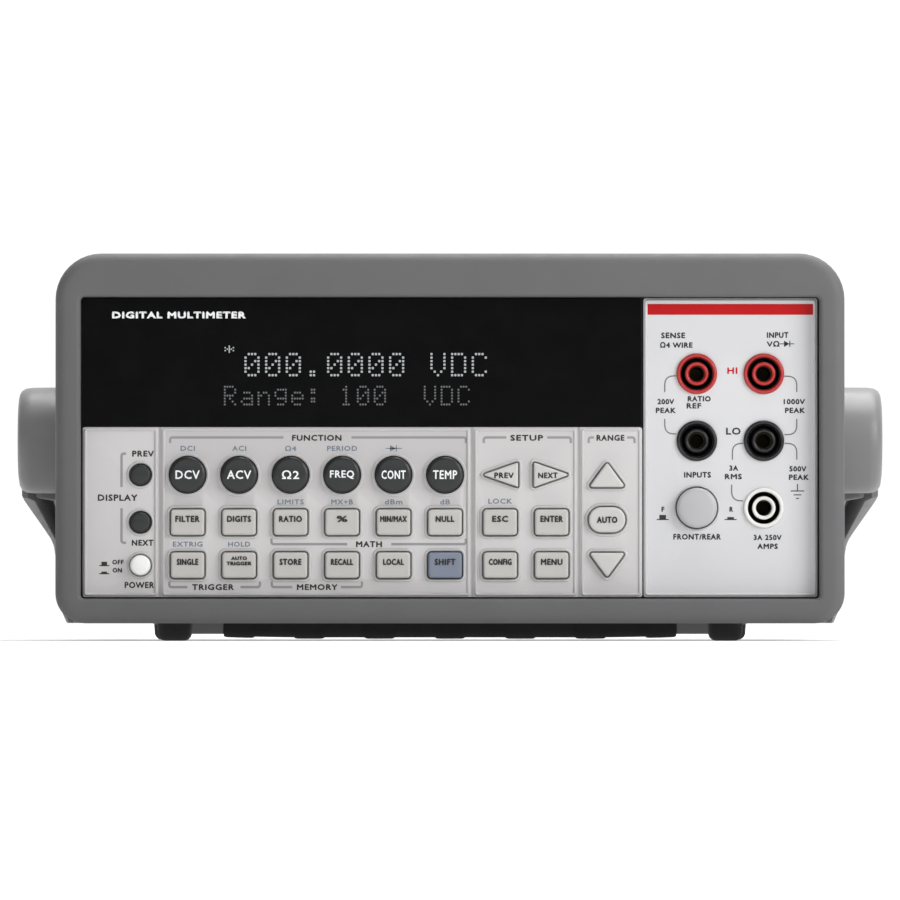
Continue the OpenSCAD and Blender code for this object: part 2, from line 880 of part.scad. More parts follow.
// Plan view of the right arm in the X-Y plane, slanting in from the hub's face
module arm_plan() {
    polygon([
        [hub_x_in, hub_y - hub_d / 4], [hub_x_out - 0.7, hub_y - hub_d / 4],
        [hub_x_out - 0.7, hub_y + 8], [arm_x_out, hub_y + 42], [arm_x_out, elbow_y - 25],
        [arm_x_end, elbow_y], [arm_x_end, corner_y], [arm_x_end - 0.8, corner_y + arm_lead],
        [arm_x_end - arm_t, corner_y + arm_lead], [arm_x_end - arm_t, elbow_y],
        [arm_x_in, elbow_y - 15], [arm_x_in, hub_y + 34], [hub_x_in, hub_y + hub_d / 2]
    ]);
}

// Plan view of the crossbar's right half, with its round corner and the elbow inside it
module bar_plan() {
    translate([0, bar_y[0]])
        square([corner_x, bar_y[1] - bar_y[0]]);
    intersection() {
        translate([corner_x, corner_y])
            circle(corner_r);
        translate([corner_x, corner_y])
            square(corner_r + 1);
    }
    polygon([
        [corner_x, corner_y], [arm_x_end - arm_t, elbow_y], [arm_x_end, elbow_y],
        [arm_x_end, corner_y]
    ]);
}

// Front view of the crossbar's right half, whose underside rises towards the arm
module bar_front() {
    polygon([
        [0, bar_shoulder_z], [bar_rise_x[0], bar_shoulder_z], [bar_rise_x[1], bar_end_z],
        [hub_x_out, bar_end_z], [hub_x_out, bar_z[1] + 1], [0, bar_z[1] + 1]
    ]);
}

// One hub, a disc with a crowned outer face
module hub() {
    hub_r = hub_d / 2;
    translate([0, hub_y, hub_z])
        rotate([0, 90, 0])
            rotate_extrude()
                polygon([
                    [0, hub_x_in], [hub_r, hub_x_in], [hub_r, hub_x_out - 4.5],
                    [hub_r - 1.2, hub_x_out - 2.2], [hub_r - 4, hub_x_out - 0.8],
                    [hub_r - 9, hub_x_out - 0.1], [0, hub_x_out]
                ]);
}

module handle_frame() {
    color([0.5, 0.5, 0.51])
        difference() {
            union() {
                both_sides() {
                    hub();
                    intersection() {
                        rotate([90, 0, 90])
                            linear_extrude(hub_x_out + 1)
                                arm_side();
                        linear_extrude(hub_z + hub_d)
                            arm_plan();
                    }
                    intersection() {
                        translate([0, 0, bar_z[0]])
                            linear_extrude(bar_z[1] - bar_z[0])
                                bar_plan();
                        slab(elbow_y - 1, bar_y[1] + 1)
                            bar_front();
                    }
                }
            }
            // Seat of the pivot in each hub
            both_sides()
                rod_x(hub_y, hub_z, pivot_d + 2 * pivot_gap, hub_x_in - 1, pivot_x_out + 0.3);
            // Waist of the crossbar that the grip is moulded around
            difference() {
                block([-grip_l / 2, bar_y[0] - 1, 0], [grip_l / 2, bar_y[1] + 1, hub_z]);
                block([-grip_l, core_y[0], core_z[0]], [grip_l, core_y[1], core_z[1]]);
            }
        }
}

module handle_grip() {
    low = [-grip_l / 2, bar_y[0], bar_z[0]];
    high = [grip_l / 2, bar_y[1], bar_z[1]];
    half = (grip_bands - 1) / 2;
    color([0.1, 0.1, 0.1])
        difference() {
            union() {
                block(low, high);
                for (i = [-half:half])
                    block([i * grip_band_pitch - grip_band_w / 2, low[1] - grip_band_t, low[2] - grip_band_t],
                        [i * grip_band_pitch + grip_band_w / 2, high[1] + grip_band_t, high[2] + grip_band_t]);
            }
            block([-grip_l, core_y[0], core_z[0]], [grip_l, core_y[1], core_z[1]]);
        }
}

module handle_pivots() {
    flange_d = 26;
    color([0.25, 0.25, 0.26])
        both_sides()
            difference() {
                union() {
                    rod_x(hub_y, hub_z, pivot_d, case_x - cover_t - 1, pivot_x_out);
                    rod_x(hub_y, hub_z, flange_d, case_x - cover_t - 1.2, case_x - cover_t - 0.1);
                }
                rod_x(hub_y, hub_z, 3, 0, pivot_x_out - 4);
            }
}

// ---------------------------------------------------------------- assembly

case_cover();
chassis();
front_bumper();
rear_bumper();
front_frame();
keypad_panel();
key_board();
display_window();
display_module();
terminal_panel();
red_terminals();
black_terminals();
current_terminals();
terminal_contacts();
main_board();
transformer();
rear_panel();
mains_inlet();
mains_fuse_drawer();
bnc_connectors();
interface_connectors();
current_fuse_cap();
handle_frame();
handle_grip();
handle_pivots();
feet();
case_screws();
power_button();
power_switch_rod();
input_selector_button();
input_selector_rod();
display_key(0);  // display_prev_key
display_key(1);  // display_next_key
function_key(0);  // dc_volts_key
function_key(1);  // ac_volts_key
function_key(2);  // ohms_key
function_key(3);  // frequency_key
function_key(4);  // continuity_key
function_key(5);  // temperature_key
rect_key(function_x[0], 1);  // filter_key
rect_key(function_x[1], 1);  // digits_key
rect_key(function_x[2], 1);  // ratio_key
rect_key(function_x[3], 1);  // percent_key
rect_key(function_x[4], 1);  // min_max_key
rect_key(function_x[5], 1);  // null_key
rect_key(function_x[0], 2);  // single_key
rect_key(function_x[1], 2);  // auto_trigger_key
rect_key(function_x[2], 2);  // store_key
rect_key(function_x[3], 2);  // recall_key
rect_key(function_x[4], 2);  // local_key
rect_key(function_x[5], 2, [0.5, 0.54, 0.62]);  // shift_key
arrow_key(setup_x[0], row_z[0], setup_arrow, 90);  // setup_prev_key
arrow_key(setup_x[1], row_z[0], setup_arrow, 270);  // setup_next_key
rect_key(setup_x[0], 1);  // escape_key
rect_key(setup_x[1], 1);  // enter_key
rect_key(setup_x[0], 2);  // config_key
rect_key(setup_x[1], 2);  // menu_key
arrow_key(range_x, row_z[0], range_arrow, 0);  // range_up_key
range_auto_key();
arrow_key(range_x, row_z[2], range_arrow, 180);  // range_down_key
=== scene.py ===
"""Bench multimeter: the looks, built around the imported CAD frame.

Blender works in metres. Small sizes below are written in millimetres and multiplied by MM.
X runs to the right, Y to the rear and Z up; the front panel faces -Y.
"""

import json
import math

import bmesh
import bpy
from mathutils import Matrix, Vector


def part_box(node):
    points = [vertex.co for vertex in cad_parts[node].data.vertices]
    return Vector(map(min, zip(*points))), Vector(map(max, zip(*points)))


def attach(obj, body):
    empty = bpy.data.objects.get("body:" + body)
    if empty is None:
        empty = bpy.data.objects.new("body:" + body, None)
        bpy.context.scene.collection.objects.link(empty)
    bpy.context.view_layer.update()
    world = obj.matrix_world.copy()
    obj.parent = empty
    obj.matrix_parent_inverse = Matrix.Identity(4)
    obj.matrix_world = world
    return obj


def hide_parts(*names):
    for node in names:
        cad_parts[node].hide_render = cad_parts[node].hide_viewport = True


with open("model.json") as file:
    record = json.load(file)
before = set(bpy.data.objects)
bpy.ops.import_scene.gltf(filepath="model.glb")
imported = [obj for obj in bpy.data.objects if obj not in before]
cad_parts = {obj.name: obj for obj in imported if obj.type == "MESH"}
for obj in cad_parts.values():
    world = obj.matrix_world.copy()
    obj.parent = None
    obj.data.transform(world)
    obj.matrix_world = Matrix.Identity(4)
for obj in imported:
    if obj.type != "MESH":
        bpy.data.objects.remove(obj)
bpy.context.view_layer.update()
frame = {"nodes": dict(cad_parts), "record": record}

MM = 0.001
NODES = frame["nodes"]


# ------------------------------------------------------------------ materials

def srgb(red, green, blue):
    """Linear colour from the 0-255 values that a display shows."""
    def channel(value):
        value /= 255
        return value / 12.92 if value <= 0.04045 else ((value + 0.055) / 1.055) ** 2.4
    return (channel(red), channel(green), channel(blue), 1.0)


def material(name, colour, roughness, metallic=0.0, grain=0.35, bump=0.12, vary=0.05,
             rough_vary=0.06, wear_and_highlight=0.0, coat=0.0, specular=0.5, stretch=(1, 1, 1)):
    """A surface with fine grain in its relief, uneven gloss, faint mottling, and convex edges
    lightened partly as rubbed wear and partly as a painted highlight.

    grain is the size of the relief in millimetres; vary is how much the colour drifts;
    wear_and_highlight is how much the convex edges lighten, as wear and as painted highlight;
    stretch draws the grain out, as brushing does.
    """
    made = bpy.data.materials.new(name)
    made.use_nodes = True
    tree = made.node_tree
    shader = tree.nodes["Principled BSDF"]
    shader.inputs["Metallic"].default_value = metallic
    shader.inputs["Coat Weight"].default_value = coat
    shader.inputs["Specular IOR Level"].default_value = specular
    place = tree.nodes.new("ShaderNodeTexCoord")
    mapping = tree.nodes.new("ShaderNodeMapping")
    mapping.inputs["Scale"].default_value = stretch
    tree.links.new(place.outputs["Object"], mapping.inputs["Vector"])

    def noise(size_mm, detail):
        texture = tree.nodes.new("ShaderNodeTexNoise")
        texture.inputs["Scale"].default_value = 1000 / size_mm
        texture.inputs["Detail"].default_value = detail
        tree.links.new(mapping.outputs["Vector"], texture.inputs["Vector"])
        return texture.outputs["Fac"]

    def ramp(source, low, high):
        spread = tree.nodes.new("ShaderNodeMapRange")
        spread.inputs["From Min"].default_value = 0.3
        spread.inputs["From Max"].default_value = 0.7
        spread.inputs["To Min"].default_value = low
        spread.inputs["To Max"].default_value = high
        tree.links.new(source, spread.inputs["Value"])
        return spread.outputs["Result"]

    def shade(amount):
        return tuple(min(1.0, c * amount) for c in colour[:3]) + (1.0,)

    mottle = tree.nodes.new("ShaderNodeMix")
    mottle.data_type = "RGBA"
    mottle.inputs[6].default_value = shade(1 - vary)
    mottle.inputs[7].default_value = shade(1 + vary)
    tree.links.new(ramp(noise(22, 3), 0, 1), mottle.inputs[0])
    base = mottle.outputs[2]
    # Convex edges, found by pointiness, are lightened: partly rubbed wear, partly a painted
    # highlight on every edge.
    if wear_and_highlight > 0:
        geometry = tree.nodes.new("ShaderNodeNewGeometry")
        edge = tree.nodes.new("ShaderNodeMapRange")
        edge.inputs["From Min"].default_value = 0.52
        edge.inputs["From Max"].default_value = 0.62
        edge.inputs["To Max"].default_value = wear_and_highlight
        tree.links.new(geometry.outputs["Pointiness"], edge.inputs["Value"])
        rubbed_and_highlit_edge = tree.nodes.new("ShaderNodeMix")
        rubbed_and_highlit_edge.data_type = "RGBA"
        rubbed_and_highlit_edge.inputs[7].default_value = shade(1.7)
        tree.links.new(edge.outputs["Result"], rubbed_and_highlit_edge.inputs[0])
        tree.links.new(base, rubbed_and_highlit_edge.inputs[6])
        base = rubbed_and_highlit_edge.outputs[2]
    tree.links.new(base, shader.inputs["Base Color"])
    tree.links.new(ramp(noise(6, 4), roughness - rough_vary, roughness + rough_vary),
                   shader.inputs["Roughness"])
    relief = tree.nodes.new("ShaderNodeBump")
    relief.inputs["Strength"].default_value = bump
    relief.inputs["Distance"].default_value = grain * 0.25 * MM
    tree.links.new(noise(grain, 5), relief.inputs["Height"])
    tree.links.new(relief.outputs["Normal"], shader.inputs["Normal"])
    return made


def glow(name, colour, strength):
    """A lit dot of the readout."""
    made = bpy.data.materials.new(name)
    made.use_nodes = True
    shader = made.node_tree.nodes["Principled BSDF"]
    shader.inputs["Base Color"].default_value = (0.02, 0.02, 0.02, 1)
    shader.inputs["Roughness"].default_value = 0.3
    shader.inputs["Emission Color"].default_value = colour
    shader.inputs["Emission Strength"].default_value = strength
    return made


LOOKS = {
    "case_paint": material("case_paint", srgb(132, 132, 134), 0.62, grain=0.5, bump=0.35, wear_and_highlight=0.2,
                           specular=0.25),
    "chassis_steel": material("chassis_steel", srgb(178, 180, 184), 0.36, 0.9, grain=0.2,
                              stretch=(1, 12, 1)),
    "bumper_rubber": material("bumper_rubber", srgb(99, 99, 100), 0.62, grain=0.18, bump=0.22,
                              vary=0.03, wear_and_highlight=0.18, specular=0.35),
    "frame_plastic": material("frame_plastic", srgb(42, 42, 43), 0.55),
    "keypad_plastic": material("keypad_plastic", srgb(193, 191, 191), 0.42, grain=0.12, bump=0.08,
                               vary=0.015, wear_and_highlight=0.25, coat=0.1),
    "window_plastic": material("window_plastic", srgb(10, 10, 11), 0.12, grain=2.5, bump=0.01,
                               rough_vary=0.02, vary=0.02, specular=0.12),
    "display_glass": material("display_glass", srgb(46, 54, 52), 0.1, grain=1.5, bump=0.02,
                              rough_vary=0.03),
    "terminal_plastic": material("terminal_plastic", srgb(201, 201, 203), 0.42, grain=0.12,
                                 bump=0.07, vary=0.012, wear_and_highlight=0.15, coat=0.1),
    "red_plastic": material("red_plastic", srgb(172, 40, 38), 0.3, grain=0.3, bump=0.06, wear_and_highlight=0.3),
    "black_plastic": material("black_plastic", srgb(20, 20, 21), 0.28, grain=0.3, bump=0.06,
                              wear_and_highlight=0.1),
    "white_plastic": material("white_plastic", srgb(228, 228, 224), 0.32, grain=0.3, bump=0.05),
    # contact_metal is darkened far below brass: painted shade for the contacts deep in the sockets.
    "contact_metal": material("contact_metal", srgb(60, 54, 42), 0.45, 1.0, grain=0.2, bump=0.1),
    "circuit_board": material("circuit_board", srgb(28, 92, 54), 0.35, grain=0.6, bump=0.2),
    "transformer_core": material("transformer_core", srgb(84, 80, 74), 0.55, 0.6, grain=0.5,
                                 bump=0.4, stretch=(1, 1, 10)),
    "rear_steel": material("rear_steel", srgb(176, 176, 178), 0.48, grain=0.5, bump=0.3, wear_and_highlight=0.2),
    "inlet_plastic": material("inlet_plastic", srgb(26, 26, 27), 0.5, grain=0.3, bump=0.12),
    "nickel": material("nickel", srgb(196, 195, 190), 0.22, 1.0, grain=0.2, bump=0.06),
    "handle_plastic": material("handle_plastic", srgb(122, 122, 123), 0.4, grain=0.25, bump=0.15,
                               vary=0.03, wear_and_highlight=0.15),
    "grip_rubber": material("grip_rubber", srgb(17, 17, 18), 0.6, grain=0.25, bump=0.3, wear_and_highlight=0.12),
    "pivot_plastic": material("pivot_plastic", srgb(48, 48, 50), 0.5),
    "foot_rubber": material("foot_rubber", srgb(44, 44, 45), 0.65, grain=0.25, bump=0.25),
    "screw_steel": material("screw_steel", srgb(184, 184, 188), 0.28, 1.0, grain=0.15, bump=0.1),
    "dark_key": material("dark_key", srgb(27, 29, 30), 0.42, grain=0.15, bump=0.1, wear_and_highlight=0.15,
                         coat=0.15),
    "light_key": material("light_key", srgb(192, 190, 186), 0.42, grain=0.12, bump=0.07,
                          vary=0.015, coat=0.1),
    "arrow_key": material("arrow_key", srgb(200, 198, 196), 0.42, grain=0.12, bump=0.07,
                          vary=0.015, coat=0.1),
    "blue_key": material("blue_key", srgb(122, 130, 146), 0.42, grain=0.12, bump=0.07, coat=0.1),
    "white_key": material("white_key", srgb(244, 244, 242), 0.28, grain=0.2, bump=0.04, vary=0.01,
                          coat=0.3),
    "selector_plastic": material("selector_plastic", srgb(180, 180, 182), 0.36, grain=0.15,
                                 bump=0.06, vary=0.015, coat=0.15),
    "rod_plastic": material("rod_plastic", srgb(214, 214, 210), 0.45),
}
INK_BLACK = material("ink_black", srgb(34, 33, 33), 0.5, grain=0.3, bump=0.02)
INK_BLUE = material("ink_blue", srgb(112, 124, 138), 0.5, grain=0.3, bump=0.02)
INK_WHITE = material("ink_white", srgb(242, 243, 244), 0.5, grain=0.3, bump=0.02)
INK_RED = material("ink_red", srgb(186, 10, 16), 0.45, grain=0.3, bump=0.02, specular=0.2)
INK_GREY = material("ink_grey", srgb(146, 146, 148), 0.5, grain=0.3, bump=0.02)
INK_LINE = material("ink_line", srgb(104, 104, 106), 0.5, grain=0.3, bump=0.02)
DOT_BRIGHT = glow("dot_bright", srgb(214, 220, 222), 0.62)
DOT_DIM = glow("dot_dim", srgb(150, 156, 158), 0.36)

for part in frame["record"]["subparts"]:
    node = NODES[part["node"]]
    node.data.materials.clear()
    node.data.materials.append(LOOKS[part["material_slot"]])


# ------------------------------------------------------------------ mesh helpers

def piece(name, bm, look, body="main", replaces=(), sharp=40):
    """Makes a mesh a piece of the object, riding on a CAD body. Folds over `sharp` stay crisp."""
    bmesh.ops.recalc_face_normals(bm, faces=bm.faces)
    for face in bm.faces:
        face.smooth = True
    for edge in bm.edges:
        edge.smooth = edge.calc_face_angle(math.pi) < math.radians(sharp)
    mesh = bpy.data.meshes.new(name)
    bm.to_mesh(mesh)
    bm.free()
    mesh.materials.append(look)
    made = bpy.data.objects.new(name, mesh)
    bpy.context.scene.collection.objects.link(made)
    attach(made, body)
    if replaces:
        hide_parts(*replaces)
    return made


def loft(bm, loops, closed=False, caps=True):
    """Skins a row of loops, each with the same number of points."""
    rings = [[bm.verts.new(point) for point in loop] for loop in loops]
    pairs = list(zip(rings, rings[1:]))
    if closed:
        pairs.append((rings[-1], rings[0]))
    count = len(rings[0])
    for first, second in pairs:
        for i in range(count):
            j = (i + 1) % count
            bm.faces.new((first[i], first[j], second[j], second[i]))
    if caps and not closed:
        bm.faces.new(rings[0])
        bm.faces.new(rings[-1][::-1])


def arc(x, z, radius, start, end, steps):
    """Points of an arc, in degrees, both ends included."""
    return [
        (x + radius * math.cos(math.radians(start + (end - start) * i / steps)),
         z + radius * math.sin(math.radians(start + (end - start) * i / steps)))
        for i in range(steps + 1)
    ]


def rect_outline(edges, grow=0.0, low=1 * MM, high=None, steps=6):
    """Rounded rectangle with (left, bottom, right, top) edges and its own radius low and high."""
    high = low if high is None else high
    left, bottom, right, top = edges
    left, bottom, right, top = left - grow, bottom - grow, right + grow, top + grow
    low = max(low + grow, 0.05 * MM)
    high = max(high + grow, 0.05 * MM)
    return (arc(right - low, bottom + low, low, -90, 0, steps)
            + arc(right - high, top - high, high, 0, 90, steps)
            + arc(left + high, top - high, high, 90, 180, steps)
            + arc(left + low, bottom + low, low, 180, 270, steps))


def circle_outline(x, z, radius, steps=48):
    return arc(x, z, radius, 0, 360, steps)[:-1]


def triangle_outline(x, z, width, height, turn, grow=0.0, radius=0.5 * MM, steps=4):
    """Rounded triangle, its point turned from upwards by `turn` degrees, widened by `grow`."""
    half = width / 2
    side = math.hypot(half, height)
    inradius = width * height / (width + 2 * side)
    incentre = -height / 2 + inradius
    scale = 1 + grow / inradius
    radius = max(radius + grow, 0.05 * MM)
    corners = [(-half, -height / 2), (half, -height / 2), (0, height / 2)]
    corners = [(cx * scale, incentre + (cz - incentre) * scale) for cx, cz in corners]
    points = []
    for i, corner in enumerate(corners):
        back = Vector(corners[i - 1]) - Vector(corner)
        ahead = Vector(corners[(i + 1) % 3]) - Vector(corner)
        opening = back.angle(ahead)
        inward = (back.normalized() + ahead.normalized()).normalized()
        centre = Vector(corner) + inward * radius / math.sin(opening / 2)
        facing = math.degrees(math.atan2(-inward.y, -inward.x))
        spread = 90 - math.degrees(opening) / 2
        points += arc(centre.x, centre.y, radius, facing - spread, facing + spread, steps)
    cos_turn, sin_turn = math.cos(math.radians(turn)), math.sin(math.radians(turn))
    return [(x + px * cos_turn - pz * sin_turn, z + px * sin_turn + pz * cos_turn)
            for px, pz in points]


def at_depth(outline, y):
    return [(x, y, z) for x, z in outline]


def rounding(radius, steps=4):
    """(inset, depth) pairs round a quarter circle, from the side to the front."""
    return [(radius * (1 - math.cos(math.radians(90 * i / steps))),
             radius * (1 - math.sin(math.radians(90 * i / steps)))) for i in range(steps + 1)]


def cap(bm, outline, back, front, edge=0.6 * MM, dish=0.0):
    """A key's cap: `outline(grow)` pushed from back to front, its edge rounded, its top dished."""
    loops = [at_depth(outline(0), back)]
    loops += [at_depth(outline(-inset), front + depth) for inset, depth in rounding(edge)]
    if dish:
        loops.append(at_depth(outline(-edge - 0.5 * MM), front + 0.35 * dish))
        loops.append(at_depth(outline(-edge - 1.2 * MM), front + 0.8 * dish))
        loops.append(at_depth(outline(-edge - 2.0 * MM), front + dish))
    loft(bm, loops)


def collar(bm, outline, gap, width, face, height):
    """A low rounded rim standing on a panel's face, around an opening."""
    half = width / 2
    loops = [at_depth(outline(gap), face + 0.4 * MM)]
    for i in range(7):
        angle = math.radians(180 - 30 * i)
        reach = gap + half + half * math.cos(angle)
        loops.append(at_depth(outline(reach), face - height * math.sin(angle)))
    loops.append(at_depth(outline(gap + width), face + 0.4 * MM))
    loft(bm, loops, closed=True)


def lathe(bm, x, z, profile, closed=False, segments=48):
    """Turns (radius, depth) pairs about a line along Y through (x, z)."""
    loops = [at_depth(circle_outline(x, z, radius, segments), y) for radius, y in profile]
    loft(bm, loops, closed=closed)


def ribbon(bm, points, width, y, thickness=0.02 * MM):
    """A printed line of even width along (x, z) points, on a face towards -Y."""
    sides = ([], [])
    for i, point in enumerate(points):
        before = Vector(points[max(i - 1, 0)])
        after = Vector(points[min(i + 1, len(points) - 1)])
        along = (after - before).normalized()
        across = Vector((-along.y, along.x)) * width / 2
        sides[0].append(Vector(point) + across)
        sides[1].append(Vector(point) - across)
    outline = [tuple(p) for p in sides[0] + sides[1][::-1]]
    front = [bm.verts.new((px, y - thickness, pz)) for px, pz in outline]
    back = [bm.verts.new((px, y, pz)) for px, pz in outline]
    count = len(points)
    last = 2 * count - 1
    for i in range(count - 1):
        bm.faces.new((front[i], front[i + 1], front[last - i - 1], front[last - i]))
        bm.faces.new((back[last - i], back[last - i - 1], back[i + 1], back[i]))
    for i in range(last + 1):
        j = (i + 1) % (last + 1)
        bm.faces.new((front[j], front[i], back[i], back[j]))


def bent_line(*corners, radius=1.2 * MM):
    """(x, z) points along straight runs whose corners are rounded."""
    points = [corners[0]]
    for before, corner, after in zip(corners, corners[1:], corners[2:]):
        start = Vector(corner) + (Vector(before) - Vector(corner)).normalized() * radius
        end = Vector(corner) + (Vector(after) - Vector(corner)).normalized() * radius
        for i in range(6):
            t = i / 5
            spot = (1 - t) ** 2 * start + 2 * t * (1 - t) * Vector(corner) + t * t * end
            points.append((spot.x, spot.y))
    points.append(corners[-1])
    return points


# How much the print is thickened, in millimetres
LABEL_WEIGHT, BLUE_WEIGHT, KEY_WEIGHT = 0.21, 0.13, 0.24
ROUND_KEY_WEIGHT, TITLE_WEIGHT = 0.14, 0.3


def lettering(name, look, rows, y, body="main", weight=LABEL_WEIGHT, facing=-1, deep=0.03):
    """Prints words on a face towards -Y (or +Y). Rows are (text, x, z, width, height) in mm.

    Each word is drawn flat in the built-in typeface and scaled to its own width and height, less
    `weight` mm. Three copies, that far apart and each a hair prouder, make it bolder. y is the
    face's place in metres, or a function of (x, z) that gives it, and the print reaches `deep` mm
    into the face.
    """
    height_of = y if callable(y) else lambda px, pz: y
    bm = bmesh.new()
    for text, x, z, width, height in rows:
        drawing = bpy.data.curves.new("lettering", "FONT")
        drawing.body = text
        drawing.space_character = 1.12
        drawing.resolution_u = 2
        holder = bpy.data.objects.new("lettering", drawing)
        flat = bpy.data.meshes.new_from_object(holder)
        spots = [v.co.copy() for v in flat.vertices]
        low = Vector((min(v.x for v in spots), min(v.y for v in spots)))
        high = Vector((max(v.x for v in spots), max(v.y for v in spots)))
        for shift_x, shift_z, lift in ((-0.5, -0.4, 0.02), (0.5, -0.4, 0.026), (0, 0.5, 0.032)):
            for vertex, spot in zip(flat.vertices, spots):
                across = (spot.x - (low.x + high.x) / 2) / (high.x - low.x) * (width - weight)
                up = (spot.y - (low.y + high.y) / 2) / (high.y - low.y) * (height - weight)
                px = (x - facing * (across + shift_x * weight)) * MM
                pz = (z + up + shift_z * weight) * MM
                vertex.co = (px, height_of(px, pz) + facing * lift * MM, pz)
            bm.from_mesh(flat)
        bpy.data.objects.remove(holder)
        bpy.data.meshes.remove(flat)
        bpy.data.curves.remove(drawing)
    bmesh.ops.remove_doubles(bm, verts=bm.verts, dist=1e-7)
    thick = bmesh.ops.extrude_face_region(bm, geom=bm.faces[:])
    moved = [g for g in thick["geom"] if isinstance(g, bmesh.types.BMVert)]
    bmesh.ops.translate(bm, verts=moved, vec=(0, -facing * deep * MM, 0))
    return piece(name, bm, look, body, sharp=20)


def node_body(node):
    """The CAD body that a node belongs to."""
    for body, members in frame["record"]["behaviour"]["bodies"].items():
        if node in members:
            return body
    return "main"


def middle(node):
    low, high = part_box(node)
    return (low + high) / 2


# ------------------------------------------------------------------ places

PANEL_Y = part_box("display_window")[0].y
FRONT_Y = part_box("front_bumper")[0].y
BACK_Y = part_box("rear_bumper")[1].y
REAR_FACE_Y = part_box("rear_panel")[1].y
FLANGE = 0.8 * MM
KEY_GAP = 0.3 * MM
FLANGE_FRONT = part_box("keypad_panel")[1].y + 0.1 * MM
FLANGE_BACK = FLANGE_FRONT + 1 * MM
STEM_R = 1.5 * MM


def edges_of(node, grow=0.0):
    """(left, bottom, right, top) of a node seen from the front."""
    low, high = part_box(node)
    return (low.x - grow, low.z - grow, high.x + grow, high.z + grow)


# ------------------------------------------------------------------ bumpers

def bumper(name, node, end_y, outward):
    """A rubber ring with a soft outer edge, a rolled lip round its opening and a hollow inside.

    outward is -1 at the front and +1 at the rear.
    """
    low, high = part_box(node)
    open_y = high.y if outward < 0 else low.y
    outer = (low.x, low.z, high.x, high.z)
    lip = (-104.8 * MM, 12 * MM, 104.8 * MM, 97.6 * MM)
    hollow = edges_of("case_cover", 0.1 * MM)
    outer_low, outer_high = 8.5 * MM, 13 * MM
    front_r, back_r, lip_r = 3.2 * MM, 1.2 * MM, 1.3 * MM

    def ring(edges, grow, y, r_low, r_high):
        return at_depth(rect_outline(edges, grow, r_low, r_high, 10), y)

    loops = []
    for inset, depth in rounding(back_r)[::-1]:
        loops.append(ring(outer, -inset, open_y + outward * depth, outer_low, outer_high))
    for i in range(1, 5):
        y = open_y + (end_y - open_y) * i / 5
        swell = 0.25 * MM * math.sin(math.pi * i / 5)
        loops.append(ring(outer, swell - 0.25 * MM, y, outer_low, outer_high))
    for inset, depth in rounding(front_r, 7):
        loops.append(ring(outer, -inset, end_y - outward * depth, outer_low, outer_high))
    for inset, depth in rounding(lip_r, 5)[::-1]:
        loops.append(ring(lip, inset, end_y - outward * depth, 1.2 * MM, 1.2 * MM))
    loops.append(ring(lip, 0, end_y - outward * 3.5 * MM, 1.2 * MM, 1.2 * MM))
    loops.append(ring(hollow, 0, end_y - outward * 3.5 * MM, 3 * MM, 3 * MM))
    loops.append(ring(hollow, 0, open_y, 3 * MM, 3 * MM))
    bm = bmesh.new()
    loft(bm, loops, closed=True)
    piece(name, bm, LOOKS["bumper_rubber"], replaces=(node,))


bumper("front_bumper_ring", "front_bumper", FRONT_Y, -1)
bumper("rear_bumper_ring", "rear_bumper", BACK_Y, 1)


# ------------------------------------------------------------------ keypad

COLUMNS = [middle(n).x for n in ("dc_volts_key", "ac_volts_key", "ohms_key", "frequency_key",
                                 "continuity_key", "temperature_key")]
SETUP = [middle(n).x for n in ("escape_key", "enter_key")]
ROUND_KEYS = {"dc_volts_key": "DCV", "ac_volts_key": "ACV", "ohms_key": "Ω2",
              "frequency_key": "FREQ", "continuity_key": "CONT", "temperature_key": "TEMP"}
RECT_KEYS = {
    "filter_key": ("FILTER", 7.0), "digits_key": ("DIGITS", 6.9), "ratio_key": ("RATIO", 6.6),
    "percent_key": ("%", 3.2), "min_max_key": ("MIN/MAX", 7.7), "null_key": ("NULL", 5.4),
    "single_key": ("SINGLE", 6.2), "auto_trigger_key": ("", 0), "store_key": ("STORE", 6.3),
    "recall_key": ("RECALL", 6.4), "local_key": ("LOCAL", 6.0), "shift_key": ("SHIFT", 6.0),
    "escape_key": ("ESC", 4.6), "enter_key": ("ENTER", 6.5), "config_key": ("CONFIG", 6.6),
    "menu_key": ("MENU", 6.2),
}
SETUP_ARROW, RANGE_ARROW = (7.1 * MM, 10.2 * MM, 0.3 * MM), (10.4 * MM, 7.1 * MM, 0.5 * MM)
ARROW_KEYS = {"setup_prev_key": (90, SETUP_ARROW), "setup_next_key": (270, SETUP_ARROW),
              "range_up_key": (0, RANGE_ARROW), "range_down_key": (180, RANGE_ARROW)}
collars = bmesh.new()


def round_button(node, look, rim, belly=0.3 * MM, word=None):
    """A domed round key, turned in one pass from its stem to its crown, with its word."""
    low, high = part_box(node)
    centre = (low + high) / 2
    radius = (high.x - low.x) / 2 - FLANGE

    # The crown's depth at a share of the radius: a wide shallow belly, then the rolled edge
    def top(share):
        return low.y + belly * share ** 2 + 0.5 * MM * max(0, (share - 0.8) / 0.2) ** 2.2

    profile = [(STEM_R, high.y), (STEM_R, FLANGE_BACK), (radius + FLANGE, FLANGE_BACK),
               (radius + FLANGE, FLANGE_FRONT), (radius, FLANGE_FRONT)]
    profile += [(radius * f, top(f))
                for f in (1, 0.985, 0.96, 0.93, 0.89, 0.84, 0.75, 0.6, 0.4, 0.2, 0.03)]
    bm = bmesh.new()
    lathe(bm, centre.x, centre.z, profile, segments=56)
    piece(node + "_cap", bm, LOOKS[look], node_body(node), replaces=(node,), sharp=50)
    collar(collars, lambda grow: circle_outline(centre.x, centre.z, radius + grow, 56),
           KEY_GAP, rim, PANEL_Y, 0.5 * MM)
    if word:
        lettering(node + "_legend", INK_WHITE,
                  [(word, centre.x / MM, centre.z / MM, 4.9 if len(word) == 2 else 6.9, 2.5)],
                  lambda x, z: top(math.hypot(x - centre.x, z - centre.z) / radius),
                  node_body(node), weight=ROUND_KEY_WEIGHT, deep=0.06)


